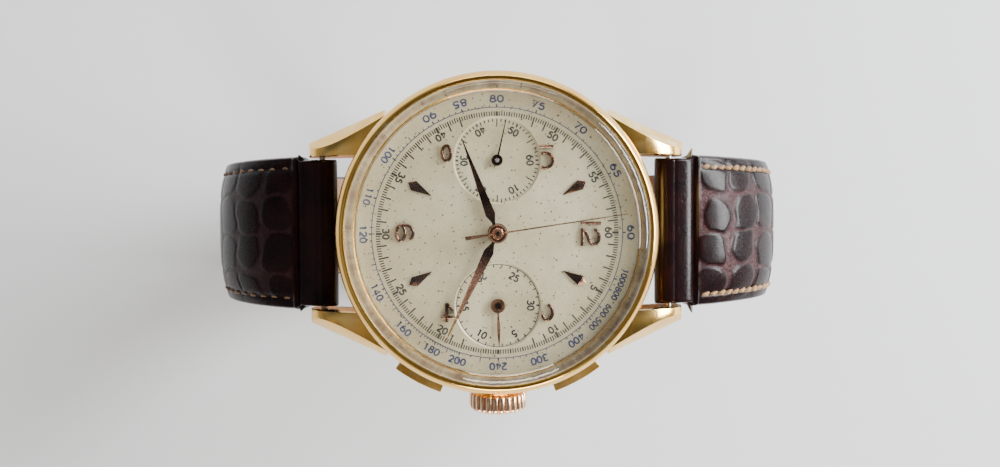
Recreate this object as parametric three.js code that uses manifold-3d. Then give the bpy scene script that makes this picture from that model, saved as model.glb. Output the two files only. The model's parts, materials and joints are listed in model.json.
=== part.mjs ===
// A wrist chronograph on a buckled leather strap: case, crystal, dial with two sunk registers,
// five hands, crown, two pushers, a hand-wound movement, and a two-piece strap closed in a loop.
//
// Frame, in millimetres: the origin is the centre of the case back's flat outer face, +Z points out
// through the crystal, +X points to 12 o'clock, and the crown is on the -Y side at 3 o'clock.
import * as THREE from "three";
import { mergeVertices } from "three/addons/utils/BufferGeometryUtils.js";
import Module from "manifold-3d";

const wasm = await Module();
wasm.setup();

// ---------------------------------------------------------------- driving dimensions
const CASE_R = 18.6; // outer radius of the case band, a 37 mm case
const BORE_R = 15.7; // movement bore of the case
const CASE_Z = [1.65, 7.95]; // underside and top of the case band
const BEZEL_R = 18.5;
const BEZEL_Z = [8.0, 9.7];
const CRYSTAL_R = 17.25;
const CRYSTAL_TOP = 12.0;
const DIAL_R = 17.0;
const DIAL_Z = [7.0, 7.4];
const REGISTER_OFFSET = 8.35; // centre of each sunk register from the dial centre
const REGISTER_R = 5.0;
const REGISTER_SINK = 0.16;
const REGISTER_FACETS = 28;
const LUG_GAP = 18.2; // between the lugs, for an 18 mm strap
const LUG_TIP_X = 22.6;
const BAR_X = 21.0; // spring bar axis
const BAR_Z = 2.5;
const BAR_R = 0.72; // radius of a spring bar's middle
const PIN_R = 0.38; // radius of a spring bar's end pins
const MOVEMENT_R = 15.0;
const PLATE_Z = [5.2, 6.3];
const BRIDGE_Z = [2.5, 3.0];
const STEM_Z = 4.0; // winding stem axis
const PUSHER_ANGLE = 28.5; // each pusher's angle from the crown, in degrees
const PUSHER_HALF = 8.7; // half of the pusher cap's arc, in degrees
const PUSHER_TRAVEL = 0.9;
const CLEAR = 0.05; // running gap between neighbours
const SEAT = 0.02; // gap under a piece that sits on its neighbour
const LOOP_X = 36.2; // half width of the strap loop, at the strap's middle
const LOOP_Z = -15.5; // height of the loop's widest point
const FLOOR_Z = -41.0; // height of the inner strap layer at the bottom of the loop
const FLOOR_X = 20.0; // half length of the straight bottom of the loop
const LAYER = 2.85; // distance between the two strap layers where they overlap
const SHORT_LENGTH = 75.0; // buckle side of the strap, from its spring bar
const LONG_LENGTH = 115.0; // hole side of the strap, from its spring bar
const BUCKLE_TILT = 19.2; // degrees between the buckle frame and the strap
const ROUND = 40; // facets on a large circle
const SMALL = 14; // facets on a small circle
const TINY = 8; // facets on an arbor or a small hole

const rad = THREE.MathUtils.degToRad;
const mix = THREE.MathUtils.lerp;
const polar = (r, degrees) => [r * Math.cos(rad(degrees)), r * Math.sin(rad(degrees))];

// ---------------------------------------------------------------- materials
const metal = (color, roughness) =>
  new THREE.MeshStandardMaterial({ color, roughness, metalness: 1.0 });
const GOLD = metal(0xd9b062, 0.18);
const ROSE = metal(0xb97a56, 0.3);
const BLUED = metal(0x2b1d1c, 0.35);
const STEEL = metal(0xb8bcc0, 0.3);
const BRASS = metal(0xc9a04a, 0.4);
const GILT = metal(0xcfae74, 0.45);
const SILVER = new THREE.MeshStandardMaterial({ color: 0xcac5b0, roughness: 0.55, metalness: 0.3 });
const LEATHER = new THREE.MeshStandardMaterial({ color: 0x33191a, roughness: 0.45, metalness: 0.0 });
const ACRYLIC = new THREE.MeshStandardMaterial({
  color: 0xffffff,
  roughness: 0.03,
  metalness: 0.0,
  transparent: true,
  opacity: 0.2,
});

// ---------------------------------------------------------------- solids
// A closed three.js geometry as a manifold-3d solid, turned outside out if it needs it.
function solid(geometry) {
  const bare = geometry.index ? geometry.toNonIndexed() : geometry.clone();
  const merged = mergeVertices(
    new THREE.BufferGeometry().setAttribute("position", bare.getAttribute("position")),
    1e-4,
  );
  const make = (triVerts) =>
    new wasm.Manifold(
      new wasm.Mesh({ numProp: 3, vertProperties: merged.attributes.position.array, triVerts }),
    );
  const triangles = new Uint32Array(merged.index.array);
  const made = make(triangles);
  if (made.volume() > 0) return made;
  return make(triangles.map((_, i) => triangles[i - (i % 3) + (2 - (i % 3))]));
}

function geometryOf(body) {
  const mesh = body.getMesh();
  const position = new Float32Array(mesh.numVert * 3);
  for (let i = 0; i < mesh.numVert; i++) {
    position.set(mesh.vertProperties.subarray(i * mesh.numProp, i * mesh.numProp + 3), i * 3);
  }
  return new THREE.BufferGeometry()
    .setAttribute("position", new THREE.BufferAttribute(position, 3))
    .setIndex(new THREE.BufferAttribute(mesh.triVerts, 1));
}

const join = (...bodies) => bodies.reduce((a, b) => a.add(b));
const cut = (body, ...tools) => tools.reduce((a, b) => a.subtract(b), body);

// A profile of [radius, z] points turned about Z. It starts and ends on the axis or closes on itself.
function turned(profile, facets = ROUND) {
  const points = profile.map(([r, z]) => new THREE.Vector2(r, z));
  if (profile[0][0] > 0) points.push(points[0].clone());
  return solid(new THREE.LatheGeometry(points, facets).rotateX(Math.PI / 2));
}

const disc = (r, z0, z1, facets = SMALL) => turned([[0, z0], [r, z0], [r, z1], [0, z1]], facets);
const ring = (inner, outer, z0, z1, facets = SMALL) =>
  turned([[inner, z0], [outer, z0], [outer, z1], [inner, z1]], facets);
const discAt = (x, y, r, z0, z1, facets = SMALL) => disc(r, z0, z1, facets).translate([x, y, 0]);

// A flat outline of [x, y] points, extruded from z0 to z1.
function plate(outline, z0, z1) {
  const shape =
    outline instanceof THREE.Shape ? outline : new THREE.Shape(outline.map((p) => new THREE.Vector2(...p)));
  const depth = z1 - z0;
  const extruded = new THREE.ExtrudeGeometry(shape, { depth, bevelEnabled: false, curveSegments: 8 });
  return solid(extruded.translate(0, 0, z0));
}

const box = (x0, x1, y0, y1, z0, z1) => plate([[x0, y0], [x1, y0], [x1, y1], [x0, y1]], z0, z1);

// A plate drawn in the X-Z plane and extruded from y0 to y1.
const sidePlate = (outline, y0, y1) => plate(outline, -y1, -y0).rotate([90, 0, 0]);

// A round bar along Y.
const barY = (r, y0, y1, x, z, facets = SMALL) =>
  disc(r, -y1, -y0, facets).rotate([90, 0, 0]).translate([x, 0, z]);

// A sector of a ring between two angles in degrees.
function sector(inner, outer, from, to, z0, z1, steps = 6) {
  const arc = (r, a, b) =>
    Array.from({ length: steps + 1 }, (_, i) => polar(r, a + ((b - a) * i) / steps));
  const inside = inner > 0 ? arc(inner, to, from) : [[0, 0]];
  return plate([...arc(outer, from, to), ...inside], z0, z1);
}

const group = new THREE.Group();
function add(name, body, material) {
  const mesh = new THREE.Mesh(geometryOf(body), material);
  mesh.name = name;
  group.add(mesh);
}

// ---------------------------------------------------------------- case
const PUSHER_Z = [2.3, 5.7];
const PUSHER_CAP = [18.0, 20.1]; // inner and outer radius of a pusher's cap
const PUSHER_STEM_R = 0.7;
const TUBE_R = 1.1;

// Turns a body made round the -Y direction to a pusher's place: +1 is at 2 o'clock, -1 at 4 o'clock.
const atPusher = (body, side) => body.rotate([0, 0, side * PUSHER_ANGLE]);
const pusherStem = (r, from, to) => barY(r, -to, -from, 0, (PUSHER_Z[0] + PUSHER_Z[1]) / 2);

function lug(sideX, sideY) {
  const profile = sidePlate(
    [
      [13.0, 1.9],
      [17.6, 1.75],
      [20.3, 0.75],
      [21.6, 0.55],
      [LUG_TIP_X - 0.2, 1.2],
      [LUG_TIP_X, 2.6],
      [LUG_TIP_X - 0.5, 4.2],
      [20.8, 5.6],
      [18.6, 6.7],
      [13.0, 7.4],
    ],
    LUG_GAP / 2,
    15.0,
  );
  const plan = plate(
    [
      [10.0, LUG_GAP / 2],
      [LUG_TIP_X + 0.1, LUG_GAP / 2],
      [LUG_TIP_X + 0.1, 10.55],
      [21.9, 11.0],
      [12.4, 14.6],
      [10.0, 14.6],
    ],
    0,
    8,
  );
  const outerFacet = new THREE.Plane().setFromCoplanarPoints(
    new THREE.Vector3(17.2, 11.2, 7.1),
    new THREE.Vector3(22.5, 9.9, 4.3),
    new THREE.Vector3(14.0, 14.9, 4.6),
  );
  const flip = outerFacet.normal.z > 0 ? -1 : 1;
  const normal = outerFacet.normal.clone().multiplyScalar(flip).toArray();
  const whole = profile.intersect(plan).trimByPlane(normal, -outerFacet.constant * flip);
  const mirrorX = sideX < 0 ? whole.mirror([1, 0, 0]) : whole;
  return sideY < 0 ? mirrorX.mirror([0, 1, 0]) : mirrorX;
}

function caseMiddle() {
  const band = turned([
    [BORE_R, CASE_Z[0]],
    [17.6, CASE_Z[0]],
    [18.3, 2.3],
    [CASE_R, 4.4],
    [18.45, 6.8],
    [17.9, CASE_Z[1]],
    [DIAL_R + 0.1, CASE_Z[1]],
    [DIAL_R + 0.1, DIAL_Z[0] - SEAT],
    [BORE_R, DIAL_Z[0] - SEAT],
  ]);
  const lugs = [1, -1].flatMap((x) => [1, -1].map((y) => lug(x, y)));
  const hollow = join(disc(BORE_R + 0.6, 0, 6.5, ROUND), disc(DIAL_R + 0.5, 6.4, 9, ROUND));
  const holeEnd = LUG_GAP / 2 + 1.0;
  const springBarHoles = [1, -1].map((x) => barY(PIN_R + 0.07, -holeEnd, holeEnd, x * BAR_X, BAR_Z, TINY));
  const pockets = [1, -1].flatMap((side) => [
    sector(
      PUSHER_CAP[0] - PUSHER_TRAVEL - 0.15,
      22,
      270 + side * PUSHER_ANGLE - PUSHER_HALF - 0.8,
      270 + side * PUSHER_ANGLE + PUSHER_HALF + 0.8,
      PUSHER_Z[0] - 0.15,
      PUSHER_Z[1] + 0.15,
    ),
    atPusher(pusherStem(PUSHER_STEM_R + CLEAR, 15, 19), side),
  ]);
  const crownHole = barY(TUBE_R + CLEAR, -20, -15, 0, STEM_Z);
  return cut(
    join(band, ...lugs.map((body) => body.subtract(hollow))),
    ...springBarHoles,
    ...pockets,
    crownHole,
  );
}
add("case_middle", caseMiddle(), GOLD);

add(
  "bezel",
  turned([
    [16.9, BEZEL_Z[0]],
    [18.2, BEZEL_Z[0]],
    [BEZEL_R, 8.35],
    [BEZEL_R, 8.6],
    [18.2, 9.15],
    [17.75, BEZEL_Z[1]],
    [CRYSTAL_R + CLEAR, BEZEL_Z[1]],
    [CRYSTAL_R + CLEAR, 8.4],
    [16.9, 8.4],
  ]),
  GOLD,
);

// The crystal is a spherical cap of even thickness on a short upright wall.
function crystal() {
  const wall = 1.0;
  const foot = 8.45;
  const shoulder = 10.35;
  const dome = (r, edge, top, steps) => {
    const sag = top - edge;
    const sphere = (r * r + sag * sag) / (2 * sag);
    return Array.from({ length: steps + 1 }, (_, i) => {
      const x = r * (1 - i / steps);
      return [x, top - sphere + Math.sqrt(sphere * sphere - x * x)];
    });
  };
  const outside = dome(CRYSTAL_R - 0.25, shoulder, CRYSTAL_TOP, 4);
  const inside = dome(CRYSTAL_R - wall, shoulder - 0.75, CRYSTAL_TOP - wall, 3).reverse();
  return turned([
    ...inside,
    [CRYSTAL_R - wall, foot],
    [CRYSTAL_R, foot],
    [CRYSTAL_R, shoulder - 0.35],
    ...outside,
  ]);
}
add("crystal", crystal(), ACRYLIC);

add(
  "case_back",
  turned([
    [0, 0],
    [14.2, 0],
    [16.6, 0.45],
    [17.5, 1.2],
    [17.5, CASE_Z[0] - SEAT],
    [BORE_R - CLEAR, CASE_Z[0] - SEAT],
    [BORE_R - CLEAR, 2.4],
    [BORE_R - 0.45, 2.4],
    [BORE_R - 0.45, 0.75],
    [0, 0.75],
  ]),
  GOLD,
);

add(
  "movement_ring",
  cut(
    ring(MOVEMENT_R + CLEAR, BORE_R - CLEAR, 2.5, DIAL_Z[0] - 0.1, ROUND),
    barY(TUBE_R + CLEAR, -20, -14, 0, STEM_Z),
    ...[1, -1].map((side) => atPusher(pusherStem(PUSHER_STEM_R + 0.1, 14, 19), side)),
  ),
  BRASS,
);

// ---------------------------------------------------------------- crown and stem
const STEM_R = 0.5;
const CROWN_R = 3.45;
const CROWN_Y = [-18.8, -21.7];
add(
  "crown_tube",
  cut(barY(TUBE_R, -19.4, -15.3, 0, STEM_Z), barY(STEM_R + CLEAR, -20, -15, 0, STEM_Z)),
  STEEL,
);

// A wheel's outline of pointed teeth, the first tooth at phase degrees.
function toothed(teeth, module, phase = 0) {
  const pitchR = (teeth * module) / 2;
  const step = 360 / teeth;
  return Array.from({ length: teeth }, (_, i) => [
    polar(pitchR + 0.7 * module, phase + i * step),
    polar(pitchR - 1.15 * module, phase + (i + 0.5) * step),
  ]).flat();
}

// A pinion's few teeth are thin, with a wide flat root between them.
function leaved(leaves, module, phase = 0) {
  const root = ((leaves - 2.3) * module) / 2;
  const tip = ((leaves + 1.3) * module) / 2;
  const step = 360 / leaves;
  return Array.from({ length: leaves }, (_, i) => [
    polar(root, phase + (i - 0.27) * step),
    polar(tip, phase + i * step),
    polar(root, phase + (i + 0.27) * step),
  ]).flat();
}

function crown() {
  const flutes = 20;
  const outline = Array.from({ length: flutes }, (_, i) => [
    polar(CROWN_R, (i - 0.22) * (360 / flutes)),
    polar(CROWN_R, (i + 0.22) * (360 / flutes)),
    polar(CROWN_R - 0.28, (i + 0.5) * (360 / flutes)),
  ]).flat();
  const length = CROWN_Y[0] - CROWN_Y[1];
  const rim = turned(
    [
      [0, 0],
      [3.05, 0],
      [CROWN_R + 0.05, 0.4],
      [CROWN_R + 0.05, length - 0.7],
      [3.0, length - 0.25],
      [1.8, length - 0.05],
      [0, length],
    ],
    20,
  );
  const whole = plate(outline, 0, length).intersect(rim);
  const recess = disc(TUBE_R + 0.3, -1, 1.2);
  const bore = disc(STEM_R + SEAT, -1, 1.9);
  return cut(whole, recess, bore).rotate([90, 0, 0]).translate([0, CROWN_Y[0], STEM_Z]);
}
add("crown", crown(), GOLD);

// The clutch wheel and the stem's far end lie in the movement.
const CLUTCH_Y = -12.6;
const SQUARE = 0.3; // half width of the stem's square
function windingStem() {
  const shoulder = CLUTCH_Y - 1.5;
  const round = barY(STEM_R, CROWN_Y[0] - 1.85, shoulder, 0, STEM_Z);
  const square = box(-SQUARE, SQUARE, shoulder - 0.2, CLUTCH_Y + 1.2, STEM_Z - SQUARE, STEM_Z + SQUARE);
  return join(round, square);
}
add("winding_stem", windingStem(), STEEL);

function clutchWheel() {
  const hole = SQUARE + 0.03;
  const teeth = plate(toothed(14, 0.19), -0.55, 0.55);
  const hub = disc(0.85, -1.3, 1.0);
  return cut(join(teeth, hub), box(-hole, hole, -hole, hole, -3, 3))
    .rotate([90, 0, 0])
    .translate([0, CLUTCH_Y, STEM_Z]);
}
add("clutch_wheel", clutchWheel(), STEEL);

// ---------------------------------------------------------------- pushers
function pusher(side) {
  const centre = 270 + side * PUSHER_ANGLE;
  const cap = sector(
    PUSHER_CAP[0],
    PUSHER_CAP[1],
    centre - PUSHER_HALF,
    centre + PUSHER_HALF,
    PUSHER_Z[0],
    PUSHER_Z[1],
    8,
  );
  return join(cap, atPusher(pusherStem(PUSHER_STEM_R, 14.9, 18.4), side));
}
add("pusher_start_stop", pusher(1), GOLD);
add("pusher_reset", pusher(-1), GOLD);

// ---------------------------------------------------------------- dial, markers and numerals
function dial() {
  const sinks = [1, -1].map((side) =>
    discAt(0, side * REGISTER_OFFSET, REGISTER_R, DIAL_Z[1] - REGISTER_SINK, 9, REGISTER_FACETS),
  );
  const registerHoles = [1, -1].map((side) => discAt(0, side * REGISTER_OFFSET, 0.35, 6, 9, TINY));
  return cut(disc(DIAL_R, ...DIAL_Z, ROUND), ...sinks, ...registerHoles, disc(1.0, 6, 9));
}
add("dial", dial(), SILVER);

const APPLIED_Z = [DIAL_Z[1] + SEAT, DIAL_Z[1] + 0.45];
const DART = [8.65, 11.0, 11.75]; // radius of a dart's point, of its widest place and of its end
const DART_HALF = 0.62;

// A dart marker: a long point towards the centre and a blunt outer end.
function dart(hour) {
  const [tip, widest, end] = DART;
  const outline = [
    [tip, 0],
    [widest, DART_HALF],
    [end, 0],
    [widest, -DART_HALF],
  ];
  return plate(outline, ...APPLIED_Z).rotate([0, 0, -30 * hour]);
}
for (const hour of [1, 5, 7, 11]) add(`marker_${hour}`, dart(hour), ROSE);

// Figures are drawn upright on a grid: u to the right and v up, in millimetres, before they are placed.
const figure = (points, z0 = APPLIED_Z[0], z1 = APPLIED_Z[1]) =>
  plate(points.map(([u, v]) => [v, -u]), z0, z1);
const FIGURE_H = 2.3;
const STROKE = 0.36;

// The outline of a stroke of even width along a line of points.
function ribbon(points, width) {
  const side = (sign) =>
    points.map(([u, v], i) => {
      const [a, b] = [points[Math.max(i - 1, 0)], points[Math.min(i + 1, points.length - 1)]];
      const k = (sign * width) / 2 / Math.hypot(b[0] - a[0], b[1] - a[1]);
      return [u - (b[1] - a[1]) * k, v + (b[0] - a[0]) * k];
    });
  return [...side(1), ...side(-1).reverse()];
}
const stroke = (points) => figure(ribbon(points, STROKE));

// Points on an ellipse from one angle to another.
const oval = (u, v, ru, rv, from, to, steps = 7) =>
  Array.from({ length: steps + 1 }, (_, i) => {
    const [x, y] = polar(1, from + ((to - from) * i) / steps);
    return [u + ru * x, v + rv * y];
  });
const H = FIGURE_H / 2;
const closedOval = (u, v, ru, rv) =>
  join(stroke(oval(u, v, ru, rv, 0, 190)), stroke(oval(u, v, ru, rv, 180, 370)));
const FOOT = -H + STROKE / 2; // middle line of a stroke along the foot of a figure
const FIGURES = {
  0: () => closedOval(0, 0, 0.86, H - STROKE / 2),
  1: () => stroke([[0, H], [0, 0], [0, -H]]),
  2: () =>
    join(
      stroke([
        ...oval(0, 0.32, 0.86, 0.66, 170, -25),
        [0.45, -0.14],
        [-0.1, -0.38],
        [-0.6, -0.64],
        [-0.84, FOOT],
      ]),
      stroke([[-1.02, FOOT], [1.02, FOOT]]),
    ),
  4: () =>
    join(
      stroke([[0.55, -H], [0.55, H]]),
      stroke([[0.55, H - 0.12], [-0.98, -0.45]]),
      stroke([[-1.12, -0.48], [1.1, -0.48]]),
    ),
  6: () => join(closedOval(0, -0.47, 0.88, 0.5), stroke(oval(0, 0, 0.92, H - STROKE / 2, 205, 35, 10))),
  8: () => closedOval(0, 0, 0.86, 0.5), // the register covers its upper loop
};
// What stands over a sunk register is cut away, as on the dial.
const registerEdges = [1, -1].map((side) =>
  discAt(0, side * REGISTER_OFFSET, REGISTER_R + 0.12, 7, 9, REGISTER_FACETS),
);
const clipped = (body) => cut(body, ...registerEdges);
const NUMERALS = [
  ["numeral_12_tens", 1, 10.7, 1.11],
  ["numeral_12_units", 2, 10.7, -0.48],
  ["numeral_2", 2, 5.31, -9.13],
  ["numeral_4", 4, -5.4, -9.05],
  ["numeral_6", 6, -10.6, 0.1],
  ["numeral_8", 8, -5.76, 9.17],
  ["numeral_10_tens", 1, 5.3, 9.89],
  ["numeral_10_units", 0, 5.45, 8.31],
];
for (const [name, value, x, y] of NUMERALS) {
  const whole = clipped(FIGURES[value]().translate([x, y, 0]));
  const parts = whole.decompose().sort((a, b) => b.volume() - a.volume());
  add(name, parts[0], ROSE);
}

// ---------------------------------------------------------------- hands
const ARBOR_R = 0.15; // sweep arbor
const CENTRE_TUBE = [0.2, 0.38]; // centre wheel's hollow arbor, inner and outer radius
const CANNON = [0.41, 0.56];
const HOUR_PIPE = [0.65, 0.85];
const HOUR_HAND_Z = [8.05, 8.2];
const MINUTE_HAND_Z = [8.55, 8.7];
const SWEEP_HAND_Z = [9.05, 9.17];
const SMALL_HAND_Z = [7.6, 7.72];
const HOUR_HAND_AT = 249.7; // hand directions at rest, clockwise from 12 in degrees
const MINUTE_HAND_AT = 116.2;
const SWEEP_HAND_AT = 351.7;
const SECONDS_HAND_AT = 282.7;
const COUNTER_HAND_AT = 88.7;

// A hand blade along +X: a narrow neck that opens to its widest near the hub and tapers to the tip.
const alphaHand = (length, width, neck) => [
  [0.4, neck / 2],
  [1.9, neck / 2],
  [length * 0.24, width / 2],
  [length * 0.96, 0.06],
  [length, 0],
  [length * 0.96, -0.06],
  [length * 0.24, -width / 2],
  [1.9, -neck / 2],
  [0.4, -neck / 2],
];
const hand = (outline, z, hub, bore, turn) =>
  cut(join(plate(outline, ...z), disc(hub, ...z)), disc(bore, 6, 11)).rotate([0, 0, -turn]);

const BLADE = [1.15, 0.5]; // greatest width of a main hand and width of its neck
const hourHand = alphaHand(11.6, ...BLADE);
const minuteHand = alphaHand(13.8, ...BLADE);
add("hour_hand", hand(hourHand, HOUR_HAND_Z, 1.15, HOUR_PIPE[1] + CLEAR, HOUR_HAND_AT), BLUED);
add("minute_hand", hand(minuteHand, MINUTE_HAND_Z, 1.12, CANNON[1] + CLEAR, MINUTE_HAND_AT), ROSE);

function sweepHand() {
  const outline = [
    [-3.7, -0.16],
    [0, -0.12],
    [14.9, -0.05],
    [14.9, 0.05],
    [0, 0.12],
    [-3.7, 0.16],
  ];
  const blade = plate(outline, ...SWEEP_HAND_Z);
  const hub = disc(1.08, ...SWEEP_HAND_Z);
  const boss = disc(0.55, SWEEP_HAND_Z[0] - 0.1, SWEEP_HAND_Z[1] + 0.3);
  return cut(join(blade, hub, boss), disc(ARBOR_R + SEAT, 6, 11, TINY)).rotate([0, 0, -SWEEP_HAND_AT]);
}
add("sweep_seconds_hand", sweepHand(), ROSE);

function smallHand(side, length, hub, width, turn) {
  const outline = [
    [0, -0.08],
    [length * 0.5, -width / 2],
    [length, -0.03],
    [length, 0.03],
    [length * 0.5, width / 2],
    [0, 0.08],
  ];
  const boss = disc(hub, SMALL_HAND_Z[0] - 0.1, SMALL_HAND_Z[1] + 0.1);
  const whole = cut(join(plate(outline, ...SMALL_HAND_Z), boss), disc(0.17, 6, 9, TINY));
  return whole.rotate([0, 0, -turn]).translate([0, side * REGISTER_OFFSET, 0]);
}
add("small_seconds_hand", smallHand(1, 4.75, 0.6, 0.2, SECONDS_HAND_AT), BLUED);
add("minute_counter_hand", smallHand(-1, 4.7, 0.85, 0.42, COUNTER_HAND_AT), ROSE);

// ---------------------------------------------------------------- movement
// Phase of a wheel, in degrees, that meshes at rest with one already placed. towards is the direction
// from the first wheel to the second.
const meshed = (phase, teeth, otherTeeth, towards) =>
  towards + 180 - ((phase - towards) * teeth) / otherTeeth - 180 / otherTeeth;
const directionOf = (a, b) => THREE.MathUtils.radToDeg(Math.atan2(b[1] - a[1], b[0] - a[0]));
const stepFrom = (a, distance, direction) => {
  const [x, y] = polar(distance, direction);
  return [a[0] + x, a[1] + y];
};
// The point at the given distances from two others, on the left of the line from a to b.
function meeting(a, fromA, b, fromB) {
  const apart = Math.hypot(b[0] - a[0], b[1] - a[1]);
  const along = (fromA ** 2 - fromB ** 2 + apart ** 2) / (2 * apart);
  const aside = THREE.MathUtils.radToDeg(Math.acos(along / fromA));
  return stepFrom(a, fromA, directionOf(a, b) + aside);
}

// Teeth and modules of the going train, each wheel driving the pinion of the next.
const TRAIN = {
  barrel: 60,
  centrePinion: 10,
  centre: 48,
  thirdPinion: 6,
  third: 45,
  fourthPinion: 6,
  fourth: 60,
  escapePinion: 6,
};
const TRAIN_M = 1 / 6; // module between centre, third and fourth wheels
const BARREL_M = 0.19;
const ESCAPE_M = 0.11;
const spacing = (a, b, module) => ((a + b) / 2) * module;

const CENTRE = [0, 0];
const FOURTH = [0, REGISTER_OFFSET];
const COUNTER = [0, -REGISTER_OFFSET];
const THIRD = meeting(
  CENTRE,
  spacing(TRAIN.centre, TRAIN.thirdPinion, TRAIN_M),
  FOURTH,
  spacing(TRAIN.third, TRAIN.fourthPinion, TRAIN_M),
);
const BARREL = stepFrom(CENTRE, spacing(TRAIN.barrel, TRAIN.centrePinion, BARREL_M), -38);
const ESCAPE = stepFrom(FOURTH, spacing(TRAIN.fourth, TRAIN.escapePinion, ESCAPE_M), 180);
const BALANCE = [-8.8, 2.6];
const PALLET = stepFrom(ESCAPE, 3.2, directionOf(ESCAPE, BALANCE));

const phases = { centre: 0, centrePinion: 0, third: 0, fourth: 0 };
phases.thirdPinion = meshed(phases.centre, TRAIN.centre, TRAIN.thirdPinion, directionOf(CENTRE, THIRD));
phases.fourthPinion = meshed(phases.third, TRAIN.third, TRAIN.fourthPinion, directionOf(THIRD, FOURTH));
phases.escapePinion = meshed(phases.fourth, TRAIN.fourth, TRAIN.escapePinion, directionOf(FOURTH, ESCAPE));
phases.barrel = meshed(phases.centrePinion, TRAIN.centrePinion, TRAIN.barrel, directionOf(CENTRE, BARREL));

const at = (body, [x, y]) => body.translate([x, y, 0]);
const pinion = (teeth, module, phase, z0, z1) =>
  plate(leaved(teeth, module, phase), z0, z1);

// A spoked wheel: a toothed rim with crescent openings left between four spokes.
function wheel(teeth, module, phase, z0, z1, hub = 0.7) {
  const pitchR = (teeth * module) / 2;
  const rim = pitchR - 2.4 * module - 0.1;
  const openings = [0, 1, 2].map((i) => sector(hub, rim, 120 * i + 14, 120 * i + 106, z0 - 1, z1 + 1, 5));
  const blank = plate(toothed(teeth, module, phase), z0, z1);
  return rim - hub > 0.6 ? cut(blank, ...openings) : blank;
}

const WHEEL_Z = { centre: [4.6, 4.8], third: [4.15, 4.3], fourth: [3.5, 3.7], escape: [4.55, 4.75] };
function centreWheel() {
  const body = join(
    wheel(TRAIN.centre, TRAIN_M, phases.centre, ...WHEEL_Z.centre, 1.0),
    pinion(TRAIN.centrePinion, BARREL_M, phases.centrePinion, 3.3, 4.05),
    disc(CENTRE_TUBE[1], 2.7, MINUTE_HAND_Z[0] - 0.1),
  );
  return cut(body, disc(CENTRE_TUBE[0], 0, 12, TINY));
}
add("centre_wheel", centreWheel(), BRASS);

add(
  "third_wheel",
  at(
    join(
      wheel(TRAIN.third, TRAIN_M, phases.third, ...WHEEL_Z.third),
      pinion(TRAIN.thirdPinion, TRAIN_M, phases.thirdPinion, WHEEL_Z.third[1] - SEAT, 5.0),
      disc(0.13, 2.7, 5.6, TINY),
    ),
    THIRD,
  ),
  BRASS,
);
add(
  "fourth_wheel",
  at(
    join(
      wheel(TRAIN.fourth, ESCAPE_M, phases.fourth, ...WHEEL_Z.fourth),
      pinion(TRAIN.fourthPinion, TRAIN_M, phases.fourthPinion, WHEEL_Z.fourth[1] - SEAT, 4.5),
      disc(0.15, 2.7, SMALL_HAND_Z[1] + 0.05, TINY),
    ),
    FOURTH,
  ),
  BRASS,
);

// The escape wheel's fifteen club teeth lean forward.
function escapeWheel() {
  const outline = Array.from({ length: 15 }, (_, i) => [
    polar(1.55, 24 * i),
    polar(2.2, 24 * i + 9),
    polar(2.12, 24 * i + 13),
    polar(1.5, 24 * i + 6),
  ]).flat();
  const rim = plate(outline, ...WHEEL_Z.escape);
  const openings = [0, 1, 2, 3].map((i) => sector(0.45, 1.25, 90 * i + 15, 90 * i + 75, 4, 5, 4));
  return join(
    cut(rim, ...openings),
    pinion(TRAIN.escapePinion, ESCAPE_M, phases.escapePinion, 3.3, WHEEL_Z.escape[0] + SEAT),
    disc(0.1, 2.7, 5.6, TINY),
  );
}
add("escape_wheel", at(escapeWheel(), ESCAPE), STEEL);

const FORK_Z = [4.36, 4.5];
// The pallet fork reaches from the escape wheel to the balance's roller.
function palletFork() {
  const toEscape = directionOf(PALLET, ESCAPE);
  const toBalance = directionOf(PALLET, BALANCE);
  const arms = plate(
    [
      [-0.3, -1.7],
      [0.55, -1.9],
      [0.5, -1.3],
      [0.3, 0],
      [0.5, 1.3],
      [0.55, 1.9],
      [-0.3, 1.7],
    ],
    ...FORK_Z,
  );
  const halfLever = [
    [0, 0.22],
    [3.2, 0.15],
    [3.75, 0.45],
    [3.75, 0.2],
  ];
  const otherHalf = halfLever.map(([along, aside]) => [along, -aside]).reverse();
  const lever = plate([...halfLever, [3.4, 0], ...otherHalf], ...FORK_Z);
  const arbor = disc(0.1, 3.2, 5.6, TINY);
  return at(join(arms.rotate([0, 0, toEscape]), lever.rotate([0, 0, toBalance]), arbor), PALLET);
}
add("pallet_fork", palletFork(), STEEL);

function balanceWheel() {
  const rim = ring(3.75, 4.3, 3.35, 3.75, 28);
  const spoke = box(-3.9, 3.9, -0.3, 0.3, 3.45, 3.65);
  const staff = disc(0.14, 2.15, 5.6, TINY);
  const roller = disc(0.75, 3.6, 4.0);
  return at(join(rim, spoke, staff, roller), BALANCE);
}
add("balance_wheel", balanceWheel(), BRASS);

// A flat spiral strip of even width from one radius out to another.
function spiral(turns, inner, outer, width) {
  const steps = 12;
  const last = turns * steps;
  const edge = (offset) =>
    Array.from({ length: last + 1 }, (_, i) =>
      polar(mix(inner, outer, i / last) + offset, (360 * i) / steps),
    );
  return [...edge(width / 2), ...edge(-width / 2).reverse()];
}

// The hairspring lies round the balance staff.
function hairspring() {
  const coil = plate(spiral(3, 0.5, 2.2, 0.1), 3.05, 3.25);
  const collet = ring(0.16, 0.52, 3.05, 3.25, TINY);
  return at(join(coil, collet), BALANCE);
}
add("hairspring", hairspring(), BLUED);

const BARREL_Z = [3.15, 4.5];
function barrel() {
  const drum = ring(4.75, 5.1, ...BARREL_Z, 24);
  const floor = disc(4.8, BARREL_Z[0], BARREL_Z[0] + 0.25, 24);
  const teeth = plate(toothed(TRAIN.barrel, BARREL_M, phases.barrel), 3.6, 3.9);
  const hole = disc(4.75, BARREL_Z[0] + 0.25, 6, 24);
  return at(cut(join(drum, floor, cut(teeth, hole)), disc(0.6, 0, 9)), BARREL);
}
add("barrel", barrel(), BRASS);

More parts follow.
